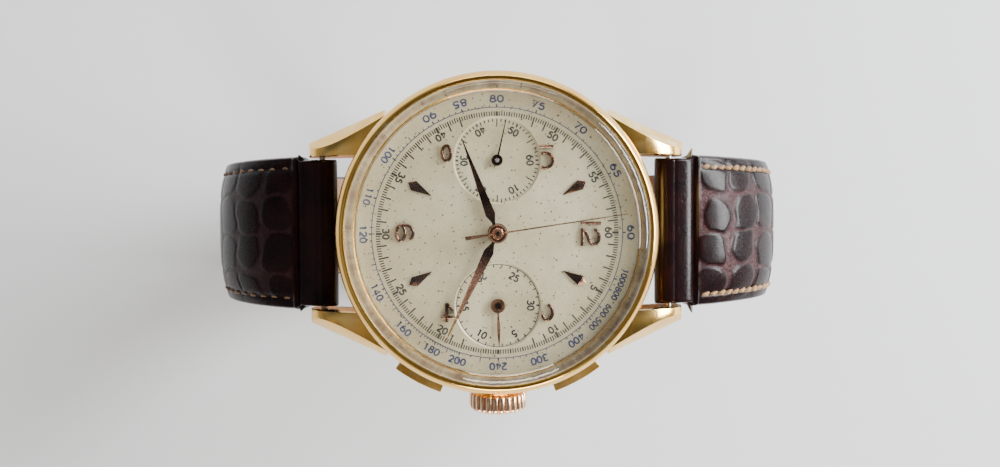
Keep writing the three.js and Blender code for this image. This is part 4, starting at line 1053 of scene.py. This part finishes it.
def main_hands():
    """The hour and minute hands: name, node, body, look, slot, direction, length and hub radius."""
    for *names, length, hub_r in (
        ("hour_hand_blade", "hour_hand", "hour", DARK_STEEL_AND_GROOVE_SHADE, "dark_hand", 249.7, 11.6, 1.15),
        ("minute_hand_blade", "minute_hand", "minute", minute_look(), "rose_gold", 116.2, 13.8, 1.12),
    ):
        low, high = (corner[2] for corner in box_mm(names[1]))
        leaf = blade(main_hand(length), low, low + 0.07, 0.08)
        hand(*names, (0, 0), [leaf], hub([(hub_r, low + 0.13), (hub_r - 0.1, high)], low))


def sweep_hand():
    low = box_mm("sweep_seconds_hand")[0][2]
    flat = low + 0.1
    sweep = [(0.4, 0.1), (4, 0.085), (9, 0.065), (14.9, 0.035)]
    tail = [(-3.7, 0.23), (-3.0, 0.21), (-1.6, 0.15), (-0.4, 0.11)]
    steps = [(1.08, 0), (1.08, 0.1), (1.04, 0.15), (0.9, 0.15), (0.88, 0.04), (0.7, 0.04), (0.66, 0.2)]
    rings = [(r, flat + rise) for r, rise in [*steps, (0.52, 0.32), (0.36, 0.36), (0.3, 0.36)]]
    blades = [blade(sweep, flat, flat + 0.06, 0.05), blade(tail, flat, flat + 0.06, 0.04)]
    hand("sweep_needle", "sweep_seconds_hand", "chronograph", COPPER, "rose_gold", 351.7, (0, 0), blades,
         hub(rings, low))
    # painted shade: a dark ring laid into the hub's groove stands for the shade in it
    hub_inset("sweep_hub_groove_shade", "chronograph", (0, 0), 0.71, 0.87, flat, flat + 0.06)
    hub_inset("sweep_hub_pivot", "chronograph", (0, 0), 0, 0.24, flat, flat + 0.39)


def register_hands():
    """The hands of the two registers: stations of the blade, its ridge and the hub's radii."""
    needle = [(0.3, 0.1), (1.5, 0.085), (3.5, 0.06), (4.75, 0.03)]
    leaf = [(0.3, 0.08), (1.2, 0.1), (2.4, 0.2), (3.3, 0.16), (4.7, 0.03)]
    for side, *names, stations, ridge, rise, outer, inner in (
        (1, "seconds_needle", "small_seconds_hand", "small_seconds", DARK_STEEL_AND_GROOVE_SHADE, "dark_hand", 282.7, needle, 0.04,
         0.04, (0.66, 0.6), (0.36, 0.3)),
        (-1, "counter_leaf", "minute_counter_hand", "minute_counter", COPPER, "rose_gold", 88.7, leaf, 0.05,
         0.02, (0.85, 0.8), (0.42, 0.36)),
    ):
        low, high = (corner[2] for corner in box_mm(names[1]))
        level, centre = low + 0.1, (0, side * REGISTER_OFFSET)
        rings = [(outer[0], level + rise), (outer[1], high), (inner[0], high), (inner[1], level + rise)]
        rings += [(0.2, level + rise), (0.17, high + 0.02)]
        hand(*names, centre, [blade(stations, level, level + 0.06, ridge)], hub(rings, low))
        if side == 1:
            hub_inset("seconds_pivot", names[2], centre, 0, 0.24, level, high + 0.02, STEEL, "steel")
        else:
            hub_inset("counter_pivot", names[2], centre, 0, 0.3, level, high + 0.02)


# ---------------------------------------------------------------- strap
LOOP_X, LOOP_Z = 36.2, -15.5  # half width of the loop and the height of its widest point
FLOOR_X = 20.0
LAYER = 2.85  # distance between the strap's two layers under the buckle
SHORT_LENGTH, LONG_LENGTH = 75.0, 115.0
ROLL_END = 2.75  # length of the smooth roll round a spring bar
FOLD_R = 1.72  # radius of that roll
EDGE_ROUND = 0.32
EDGE_HALF = 0.95  # most that half the thickness comes to at an edge
SCALE_DEPTH = 0.16
STITCH_INSET = 1.5
TAIL_TIP = 9.0


def bezier(a, b, c, d):
    t = np.linspace(0, 1, 61)[:, None]
    a, b, c, d = (np.array(p, float) for p in (a, b, c, d))
    return (1 - t) ** 3 * a + 3 * t * (1 - t) ** 2 * b + 3 * t * t * (1 - t) * c + t**3 * d


class Path:
    """A line in the X-Z plane, walked by its length."""

    def __init__(self, *pieces):
        self.points = np.concatenate([pieces[0], *[p[1:] for p in pieces[1:]]])
        steps = np.linalg.norm(np.diff(self.points, axis=0), axis=1)
        self.lengths = np.concatenate([[0], np.cumsum(steps)])
        self.start = (self.points[1] - self.points[0]) / steps[0]

    def at(self, s):
        on_path = np.stack([np.interp(s, self.lengths, self.points[:, k]) for k in (0, 1)], -1)
        return on_path + np.minimum(s, 0)[..., None] * self.start

    def tangent(self, s):
        step = self.at(s + 0.25) - self.at(s - 0.25)
        return step / np.linalg.norm(step, axis=-1, keepdims=True)

    def push(self, middle, spread, distance):
        """Bends the path to its left by distance round the place middle."""
        normal = self.tangent(self.lengths)[:, ::-1] * (-1, 1)
        size = distance * np.exp(-(((self.lengths - middle) / spread) ** 2))
        self.points = self.points + normal * size[:, None]
        return self


def straight(a, b):
    return np.array([a, b], float)


def short_path():
    return Path(
        bezier((BAR_X, BAR_Z), (BAR_X + 8, BAR_Z - 1.6), (LOOP_X, LOOP_Z + 11), (LOOP_X, LOOP_Z)),
        bezier((LOOP_X, LOOP_Z), (LOOP_X, LOOP_Z - 15), (FLOOR_X + 11, BUCKLE_Z), (FLOOR_X, BUCKLE_Z)),
        straight((FLOOR_X, BUCKLE_Z), (-FLOOR_X, BUCKLE_Z)),
    ).push(17, 6.5, 0.85)


def long_path():
    outer, far = BUCKLE_Z - LAYER, LOOP_X + LAYER
    return Path(
        bezier((-BAR_X, BAR_Z), (-BAR_X - 8, BAR_Z - 1.6), (-LOOP_X, LOOP_Z + 11), (-LOOP_X, LOOP_Z)),
        bezier((-LOOP_X, LOOP_Z), (-LOOP_X, LOOP_Z - 15), (-FLOOR_X - 11, BUCKLE_Z), (2 - FLOOR_X, BUCKLE_Z)),
        bezier((2 - FLOOR_X, BUCKLE_Z), (-7, BUCKLE_Z), (-5, outer), (1, outer)),
        straight((1, outer), (FLOOR_X, outer)),
        bezier((FLOOR_X, outer), (FLOOR_X + 12.4, outer), (far, LOOP_Z - 15.6), (far, LOOP_Z)),
    )


def ease(s, low, high):
    t = np.clip((s - low) / (high - low), 0, 1)
    return t * t * (3 - 2 * t)


def lerp(a, b, t):
    return a + (b - a) * t


def width_short(s):
    past_roll = lerp(18.7, 16.0, np.clip(s / SHORT_LENGTH, 0, 1))
    return lerp(17.7, past_roll, ease(s, ROLL_END - 0.5, ROLL_END + 0.1))


def width_long(s):
    full = lerp(width_short(s), 15.2, ease(s, SHORT_LENGTH, LONG_LENGTH))
    left = np.clip((LONG_LENGTH - s) / TAIL_TIP, 0, 1)
    return full * np.maximum(np.sqrt(1 - (1 - left) ** 2.2), 0.02)


def thickness_short(s):
    return lerp(lerp(3.3, 4.2, ease(s, 1, 7)), 2.4, ease(s, 12, 58))


def thickness_long(s):
    return lerp(thickness_short(s), 2.1, ease(s, 60, 80))


def padded(half_thick, edge_half, across):
    """Height of the padded outside over the middle line. across is 0 in the middle and 1 at an edge."""
    return edge_half + (half_thick - edge_half) * (1 - abs(across) ** 3.2)


def scales(s, y, seed):
    """Crocodile scales: rounded blocks in uneven rows. Returns their height and the crease between them."""
    random = np.random.default_rng(seed)
    pitch_s, pitch_y = 4.5, 4.55
    seeds = []
    for i in range(-1, int(LONG_LENGTH / pitch_s) + 3):
        drift = random.uniform(-0.25, 0.25)
        for k in range(-3, 3):
            jitter = random.uniform(-0.5, 0.5, 2)
            centre = (5.1 + i * pitch_s + jitter[0] + 0.12 * k, (k + 0.5) * pitch_y - 0.2 + drift + jitter[1])
            seeds.append((*centre, random.uniform(0.88, 1.16)))
    bent = s + 0.25 * np.sin(y * 0.8 + seed) + 0.1 * np.sin(y * 2.3 + s)
    skew = y + 0.22 * np.sin(s * 0.7 + seed) + 0.08 * np.sin(s * 2.1)
    nearest = np.full(s.shape, 1e9)
    second = np.full(s.shape, 1e9)
    for seed_s, seed_y, grow in seeds:
        distance = (np.abs(1.1 * (bent - seed_s)) ** 2.5 + np.abs(skew - seed_y) ** 2.5) ** 0.4 / grow
        second = np.minimum(second, np.maximum(nearest, distance))
        nearest = np.minimum(nearest, distance)
    inside = ease(second - nearest, 0.03, 0.55) * (1 - ease(nearest, 1.9, 2.6))
    height = inside * (1 - 0.1 * np.clip(nearest / 2, 0, 1) ** 2)
    return height, 1 - ease(inside, 0.05, 0.8)


def strap(name, path, end, width, thickness, outward, seed, depth, folded_end=0.0):
    """One half of the strap: a padded scaly outside, painted edges and a calf lining."""
    first = FOLD_R - 0.01
    s = np.concatenate([
        -first * np.cos(np.linspace(0, math.pi / 2, 12))[:-1],
        np.arange(0, 24, 0.16),
        np.arange(24, end, 0.24),
        [end],
        end + (folded_end - 0.01) * np.sin(np.linspace(0, math.pi / 2, 10))[1:] if folded_end else [],
    ])
    across = np.linspace(-1, 1, 96)
    half = width(s)[:, None] / 2
    half_thick = thickness(s)[:, None] / 2
    before, after = np.minimum(s, 0)[:, None], np.maximum(s - end, 0)[:, None]
    round_start = np.sqrt(FOLD_R**2 - before**2)
    round_end = np.sqrt(np.maximum(folded_end**2 - after**2, 0))
    half_thick = np.where(before < 0, round_start, np.where(after > 0, round_end, half_thick))
    grid_s = np.repeat(s[:, None], across.size, 1)
    y = across[None, :] * (half - EDGE_ROUND)
    scaly = ease(grid_s, ROLL_END, ROLL_END + 0.7)
    edge_half = lerp(half_thick, np.minimum(half_thick, EDGE_HALF), scaly)
    crown = padded(half_thick, edge_half, y / half)
    scale_height, crease = scales(grid_s, y, seed)
    from_edge = half - np.abs(y)
    fade = ease(from_edge, 0.35, 2.0) * scaly
    relief = depth * (scale_height - 1) * (0.25 + 0.75 * fade) * scaly
    groove = -0.16 * np.exp(-(((from_edge - STITCH_INSET) / 0.3) ** 2)) * ease(grid_s, 3.4, 3.9)
    lift = 0.16 * scaly * (1 - ease(grid_s, 5, 12))
    fall = 0.3 * (np.clip(grid_s - 0.2, 0, ROLL_END) / (ROLL_END - 0.2)) ** 5
    roll = np.where(grid_s > 0.2, FOLD_R * (1 - fall), crown)
    outer = lerp(roll, crown + relief + groove + lift, ease(grid_s, ROLL_END - 0.05, ROLL_END + 0.3))
    crease = crease * ease(from_edge, 0.6, 4.4) * scaly * depth / SCALE_DEPTH
    smooth_part = 1 - scaly

    place, tangent = path.at(s), path.tangent(s)
    normal = outward * np.stack([-tangent[:, 1], tangent[:, 0]], -1)

    def points(ys, heights):
        x = place[:, 0:1] + normal[:, 0:1] * heights
        z = place[:, 1:2] + normal[:, 1:2] * heights
        return np.stack([x, ys, z], -1)

    sides = []
    bottom = -half_thick + 0.02 * np.minimum(half_thick, 1)
    turn = np.linspace(0, math.pi, 9)[1:-1][None, :]
    for sign, top_edge in ((1, outer[:, -1:]), (-1, outer[:, :1])):
        middle, reach = (top_edge + bottom) / 2, (top_edge - bottom) / 2
        sides.append(points(sign * (half - EDGE_ROUND * (1 - np.sin(turn))), middle + reach * np.cos(turn)))
    lining_y = np.linspace(1, -1, 25)[None, :] * (half - EDGE_ROUND)
    inside = points(lining_y, bottom + 0 * lining_y)
    rings = np.concatenate([points(y, outer), sides[0], inside, sides[1][:, ::-1]], 1)
    size, top = rings.shape[1], across.size
    made = mesh_plain(name, *loft(rings))
    kinds = np.full(size, 2)
    kinds[: top - 1] = 0
    lining = top + turn.size
    kinds[lining : lining + lining_y.shape[1] - 1] = 1
    covered = s[:-1, None] < ROLL_END
    by_face = np.where(covered, 0, kinds[None, :])
    for material in STRAP_LOOKS:
        made.data.materials.append(material)
    made.data.polygons.foreach_set("material_index", np.concatenate([by_face.ravel(), [0, 2]]).astype(int))
    for key, field in (("crease", crease), ("smooth_part", smooth_part)):
        full = np.zeros((len(s), size))
        full[:, :top] = field
        if key == "smooth_part":
            full[:, top:] = field[:, :1]
        attribute = made.data.attributes.new(key, "FLOAT", "POINT")
        attribute.data.foreach_set("value", full.ravel())
    return made


def stitch(start, end, up, radius, twist):
    """One stitch of two-ply thread between two points, its ends sinking into the leather."""
    start, end, up = np.array(start), np.array(end), np.array(up)
    along = end - start
    side = np.cross(up, along)
    side /= np.linalg.norm(side)
    turns = np.linspace(0, TAU, 13)[:-1]
    rings = []
    for t in np.linspace(0, 1, 11):
        bow = math.sin(math.pi * t)
        centre = start + along * t + up * radius * (1.1 * bow**0.6 - 0.55)
        girth = radius * (0.45 + 0.55 * bow**0.5) * (1 + 0.16 * np.cos(2 * (turns - twist * t * TAU)))
        rings.append(centre + (np.cos(turns) * girth)[:, None] * side + (np.sin(turns) * girth)[:, None] * up)
    return loft(rings)


def stitches(name, path, width, thickness, outward, first, last, pitch, size, radius, material, slant):
    """Rows of stitches near both edges of a strap half."""
    random = np.random.default_rng(5)
    shapes = []
    for sign in (1, -1):
        s = first
        while s + size < last:
            ends = []
            for k, offset in ((0, -slant), (1, slant)):
                here = np.array([s + k * size])
                half, half_thick = float(width(here)[0]) / 2, float(thickness(here)[0]) / 2
                y = sign * (half - STITCH_INSET) + offset + random.uniform(-0.04, 0.04)
                crown = padded(half_thick, min(half_thick, EDGE_HALF), y / half)
                place, tangent = path.at(here)[0], path.tangent(here)[0]
                normal = outward * np.array([-tangent[1], tangent[0]])
                point = place + normal * (crown - 0.20)
                ends.append((point[0], y, point[1]))
            up = (normal[0], 0.0, normal[1])
            shapes.append(stitch(ends[0], ends[1], up, radius * random.uniform(0.9, 1.1), 0.8))
            s += pitch
    made = mesh_object(name, *merged(*shapes), sharp=80)
    return dress(made, material, "head", "leather")


def straps():
    short, long = short_path(), long_path()
    short_end = float(np.interp(-BUCKLE_X, -short.points[-2:, 0], short.lengths[-2:]))
    made = strap("strap_buckle_half", short, short_end, width_short, thickness_short, 1, 3, SCALE_DEPTH, 1.42)
    boolean(made, rod("bar_way", 0.87, -12, 12, BAR_X, BAR_Z), sharp=50)
    boolean(made, rod("buckle_bar_way", 0.87, -12, 12, BUCKLE_X, BUCKLE_Z), sharp=50)
    opening = [(-2.2, -0.95), (3.4, -0.95), (3.4, 0.95), (-2.2, 0.95)]
    boolean(made, mesh_object("tongue_slot", *prism(opening, BUCKLE_Z - 4, BUCKLE_Z + 4)), sharp=50)
    dress(made, STRAP_LOOKS, "head", "leather", "strap_buckle_side")
    made = strap("strap_hole_half", long, LONG_LENGTH, width_long, thickness_long, -1, 8, 0.5 * SCALE_DEPTH)
    boolean(made, rod("bar_way", 0.87, -12, 12, -BAR_X, BAR_Z), sharp=50)
    tongue_at = distance_at(long, -0.75)
    for i in range(-4, 3):
        s = np.array([tongue_at + 6.5 * i])
        place, tangent = long.at(s)[0], long.tangent(s)[0]
        stretch = 1.8 if i == 0 else 1.25
        shape = turned([(0, -4), (0.95, -4), (0.95, 4), (0, 4)], 28)
        turn = Matrix.Rotation(-math.atan2(tangent[1], tangent[0]), 4, "Y")
        matrix = Matrix.Translation((place[0], 0, place[1])) @ turn @ Matrix.Diagonal((stretch, 1, 1, 1))
        boolean(made, mesh_object("hole", *moved(shape, matrix)), sharp=50)
    dress(made, STRAP_LOOKS, "head", "leather", "strap_hole_side")
    golden = thread_look("golden_thread", (0.44, 0.25, 0.09), (0.17, 0.08, 0.03))
    brown = thread_look("brown_thread", (0.26, 0.125, 0.05), (0.10, 0.045, 0.02))
    stitches("stitches_buckle_half", short, width_short, thickness_short, 1, 3.5, short_end - 3, 1.15, 1.4,
             0.3, golden, 0.2)
    stitches("stitches_hole_half", long, width_long, thickness_long, -1, 3.6, 104, 1.75, 1.15,
             0.2, brown, 0.05)
    nubs()


def nubs():
    """The knotted ends of the seam that closes each roll, as small waxed tufts at the strap's edges."""
    shapes = []
    for side, reach in ((1, 0.75), (-1, 0.15)):
        for edge in (1, -1):
            rings = []
            for t in np.linspace(0, 1, 8):
                r = 0.42 * (1 - t) ** 0.7 + 0.03
                angles = np.arange(12) / 12 * TAU
                wobble = 1 + 0.18 * np.cos(3 * angles + side + edge)
                x = side * (BAR_X + 2.55 + 0.25 * t) + r * wobble * np.cos(angles)
                z = BAR_Z - 0.2 + 0.5 * t + r * wobble * np.sin(angles)
                rings.append(np.stack([x, np.full_like(x, edge * (8.7 + (0.6 + reach) * t)), z], 1))
            shapes.append(loft(rings))
    dress(mesh_object("seam_tufts", *merged(*shapes)), EDGE, "head", "leather")


def distance_at(path, x):
    """The length along a path at which the bottom of the loop reaches x."""
    s = np.linspace(60, 95, 3501)
    return float(s[np.argmax(path.at(s)[:, 0] > x)])


# ---------------------------------------------------------------- buckle, keepers and bars
BUCKLE_TILT = 19.2


def buckle():
    inner, outer, reach = 8.75, 10.4, 12.6
    rail = 2.1 - reach
    outline = [(1.3, -outer), (-reach, -outer), (-reach, outer), (1.3, outer)]
    outline += [(1.3, inner), (rail, inner), (rail, -inner), (1.3, -inner)]
    outline = rounded(outline, [0.5, 3.0, 3.0, 0.5, 0.3, 1.6, 1.6, 0.3], 8)
    made = slab("buckle_hoop", outline, -0.98, 0.98, 0.45, 4)
    notch = [(-reach - 1, -0.8), (-reach + 3, -0.8), (-reach + 3, 0.8), (-reach - 1, 0.8)]
    boolean(made, mesh_object("notch", *prism(notch, -2, 0.15)))
    boolean(made, rod("pin_hole", 0.45, -12, 12, 0, 0))
    tilt = Matrix.Rotation(math.radians(-BUCKLE_TILT), 4, "Y")
    made.data.transform(Matrix.Translation((BUCKLE_X * MM, 0, BUCKLE_Z * MM)) @ tilt)
    shade(made, 35)
    dress(made, GOLD, "buckle", "gold", "buckle_frame")


def tongue():
    """The tongue's eye round the bar and its blade, which bends through the strap to the rail."""
    x, z = BUCKLE_X, BUCKLE_Z
    tip = z - 12.0 * math.sin(math.radians(BUCKLE_TILT)) - 0.55
    bend = [(-0.6, -0.95), (-1.6, -1.9), (-2.2, -2.9), (-2.55, -3.5), (-3.1, -3.95), (-3.9, -4.2)]
    line = smooth_curve([(x + dx, z + dz) for dx, dz in bend] + [(x - 12.65, tip)], 5)
    left, right = ribbon(line, 0.85)
    rings = []
    for i, ((ax, az), (bx, bz)) in enumerate(zip(left, right)):
        wide = 0.6 * (1 - 0.25 * (i / len(line)) ** 4)
        corners = rounded([(-wide, 0), (wide, 0), (wide, 1), (-wide, 1)], 0.28, 4)
        rings.append([(bx + (ax - bx) * t, y, bz + (az - bz) * t) for y, t in corners])
    eye = turned(rounded([(0.78, -0.6), (1.4, -0.6), (1.4, 0.6), (0.78, 0.6)], 0.12, 3), 48, closed=True)
    made = mesh_object("tongue_blade", *loft(rings), sharp=35)
    boolean(made, mesh_object("eye", *along_y(eye, x, z)), "UNION")
    shade(made, 35)
    dress(made, GOLD, "tongue", "gold", "buckle_tongue")


def divided(line, step, weights=(1, 1)):
    """A closed line with points added, so that no step, measured with weights, is twice as long as step."""
    result = []
    for i, (a, n) in enumerate(line):
        b, m = line[(i + 1) % len(line)]
        count = max(1, int(math.hypot((b - a) * weights[0], (m - n) * weights[1]) / step))
        result += [(a + (b - a) * t / count, n + (m - n) * t / count) for t in range(count)]
    return result


def keeper(name, node, body, seed):
    """A leather keeper: a strip with rounded edges led round both strap layers."""
    low, high = box_mm(node)
    wall, corner = 1.0, 1.3
    y0, y1, z0, z1 = low[1] + wall / 2, high[1] - wall / 2, low[2] + wall / 2, high[2] - wall / 2
    dense = divided(rounded([(y0, z0), (y1, z0), (y1, z1), (y0, z1)], corner, 8), 0.3)
    half, centre_x = (high[0] - low[0]) / 2, (high[0] + low[0]) / 2
    strip = [(-half, -wall / 2), (half, -wall / 2), (half, wall / 2), (-half, wall / 2)]
    section = divided(rounded(strip, 0.42, 4), 0.25, (1, 0))
    rings = []
    random = np.random.default_rng(seed)
    waves = random.uniform(0, TAU, 4)
    for i, (y, z) in enumerate(dense):
        (ay, az), (by, bz) = dense[i - 1], dense[(i + 1) % len(dense)]
        size = math.hypot(by - ay, bz - az)
        ny, nz = (bz - az) / size, -(by - ay) / size
        ring = []
        for a, n in section:
            dip = 0.0
            if n > wall / 2 - 0.05:
                dip = -0.09 * abs(math.sin(i * 0.22 + waves[0] + 0.4 * math.sin(a * 1.4 + waves[1]))) ** 6
                dip -= 0.1 * math.exp(-(((abs(a) - half + 0.75) / 0.16) ** 2))
            ring.append((centre_x + a, y + ny * (n + dip), z + nz * (n + dip)))
        rings.append(ring)
    made = mesh_object(name, *loft(rings, closed_ends=True), sharp=50)
    dress(made, keeper_look(name), body, "leather", node)


def keeper_look(name):
    look = Look(name + "_leather", (0.03, 0.012, 0.012), 0.32, Coat_Weight=0.3, Coat_Roughness=0.2)
    tone = look.cloud(2.0, 4, 0.38, 0.64, roughness=0.6)
    line = look.range(look.cells(2.6, "DISTANCE_TO_EDGE"), 0.0, 0.12, 1.0, 0.0)
    base = look.mix(tone, (0.018, 0.008, 0.009), (0.055, 0.018, 0.018))
    look.color(look.mix(look.times(line, 0.7), base, (0.16, 0.07, 0.066)))
    look.roughness(look.cloud(0.3, 4, 0.3, 0.7, 0.2, 0.42))
    look.bump(look.minus(1.0, line), 0.12)
    look.bump(look.noise(0.22, 4), 0.02)
    return look.material


def bars():
    for name, node, x, z, barrel, pin_end in (
        ("bar_at_12", "spring_bar_12", BAR_X, BAR_Z, 8.75, 9.9),
        ("bar_at_6", "spring_bar_6", -BAR_X, BAR_Z, 8.75, 9.9),
        ("bar_of_buckle", "buckle_bar", BUCKLE_X, BUCKLE_Z, 8.5, 10.2),
    ):
        half = [(0, pin_end), (0.3, pin_end), (0.38, pin_end - 0.1), (0.38, barrel), (0.62, barrel)]
        half += [(0.72, barrel - 0.1), (0.72, barrel - 0.6), (0.62, barrel - 0.7), (0.62, barrel - 0.9)]
        half += [(0.72, barrel - 1.0)]
        profile = half + [(r, -y) for r, y in half[::-1]]
        made = mesh_object(name, *along_y(turned(profile, 32), x, z))
        dress(made, STEEL, "head", "steel", node)


# ---------------------------------------------------------------- the model
case_middle()
bezel()
crystal()
case_back()
crown()
pusher("start_button", 1, "pusher_start_stop", "start_stop")
pusher("reset_button", -1, "pusher_reset", "reset")
dial()
minute_track()
tachymeter()
register_scales()
for hour in (1, 5, 7, 11):
    dart(hour)
for row in NUMERALS:
    numeral(*row)
main_hands()
sweep_hand()
register_hands()
straps()
buckle()
tongue()
keeper("keeper_fixed", "fixed_keeper", "head", 2)
keeper("keeper_free", "free_keeper", "free_keeper", 7)
bars()

SLOT_LOOKS = {"steel": STEEL, "brass": BRASS, "gilt": GILT, "gold": GOLD, "dark_hand": BLUED}
for part in frame["record"]["subparts"]:
    node = frame["nodes"][part["node"]]
    look = SLOT_LOOKS.get(part["material_slot"])
    if look:
        for material_slot in node.material_slots:
            material_slot.material = look


# ---------------------------------------------------------------- floor, light and camera
def floor():
    half, depth = 3000.0, 20.0
    outline = rounded([(-half, -half), (half, -half), (half, half), (-half, half)], 200, 4)
    made = mesh_object("floor", *prism(outline, GROUND_Z - depth, GROUND_Z))
    made.data.materials.append(floor_look())


def area_light(name, place, size, power, color):
    """A rectangular lamp that points at the middle of the case back."""
    data = bpy.data.lights.new(name, "AREA")
    data.shape = "RECTANGLE"
    data.size, data.size_y = (side * MM for side in size)
    data.energy, data.color = power, color
    made = bpy.data.objects.new(name, data)
    bpy.context.scene.collection.objects.link(made)
    made.location = Vector(place) * MM
    made.rotation_euler = (-Vector(place)).to_track_quat("-Z", "Y").to_euler()


def world():
    """A dim room, paler towards the horizon, with soft light and dark parts for metal to mirror."""
    made = bpy.data.worlds.new("studio")
    bpy.context.scene.world = made
    made.use_nodes = True
    nodes, links = made.node_tree.nodes, made.node_tree.links

    def stretched(value, *limits):
        """A value taken from one range, its low and high, to another."""
        spread = nodes.new("ShaderNodeMapRange")
        for socket, number in zip(spread.inputs[1:5], limits):
            socket.default_value = number
        links.new(value, spread.inputs["Value"])
        return spread.outputs["Result"]

    around = nodes.new("ShaderNodeTexCoord").outputs["Generated"]
    split = nodes.new("ShaderNodeSeparateXYZ")
    links.new(around, split.inputs[0])
    ramp = nodes.new("ShaderNodeValToRGB")
    links.new(split.outputs["Z"], ramp.inputs["Fac"])
    colors = ((0.80, 0.80, 0.80, 1), (0.55, 0.53, 0.50, 1))
    for stop, position, color in zip(ramp.color_ramp.elements, (0.1, 0.85), colors):
        stop.position, stop.color = position, color
    room = nodes.new("ShaderNodeTexNoise")
    room.inputs["Scale"].default_value = 1.7
    room.inputs["Detail"].default_value = 1.0
    links.new(around, room.inputs["Vector"])
    patchy = nodes.new("ShaderNodeMix")
    patchy.inputs["A"].default_value = 1.0
    links.new(stretched(split.outputs["Z"], 0.08, 0.35, 0.0, 1.0), patchy.inputs["Factor"])
    links.new(stretched(room.outputs["Fac"], 0.40, 0.60, 0.35, 1.5), patchy.inputs["B"])
    both = nodes.new("ShaderNodeVectorMath")
    both.operation = "SCALE"
    links.new(ramp.outputs["Color"], both.inputs[0])
    links.new(patchy.outputs["Result"], both.inputs["Scale"])
    links.new(both.outputs["Vector"], nodes["Background"].inputs["Color"])
    nodes["Background"].inputs["Strength"].default_value = 0.42


CAMERA_AT = (-1.5, 3.0, 97.4)
CAMERA_AIM = (0.25, 0.03, 9.45)
FOCAL, SENSOR = 28.06, 36.0
ROLL = 0.35


def camera():
    data = bpy.data.cameras.new("camera")
    data.lens, data.sensor_width = FOCAL, SENSOR
    data.clip_start, data.clip_end = 0.005, 50
    made = bpy.data.objects.new("camera", data)
    bpy.context.scene.collection.objects.link(made)
    forward = (Vector(CAMERA_AIM) - Vector(CAMERA_AT)).normalized()
    right = forward.cross(Vector((0, 1, 0))).normalized()
    up = right.cross(forward)
    turn = Matrix((right, up, -forward)).transposed().to_4x4()
    turn = turn @ Matrix.Rotation(math.radians(-ROLL), 4, "Z")
    made.matrix_world = Matrix.Translation(Vector(CAMERA_AT) * MM) @ turn
    bpy.context.scene.camera = made


floor()
world()
area_light("window", (615, 205, 300), (620, 260), 19.0, (0.96, 0.98, 1.0))
area_light("wall", (40, 640, 260), (520, 160), 1.8, (0.97, 0.98, 1.0))
area_light("fill", (60, -580, 330), (360, 200), 4.2, (1.0, 0.95, 0.86))
camera()
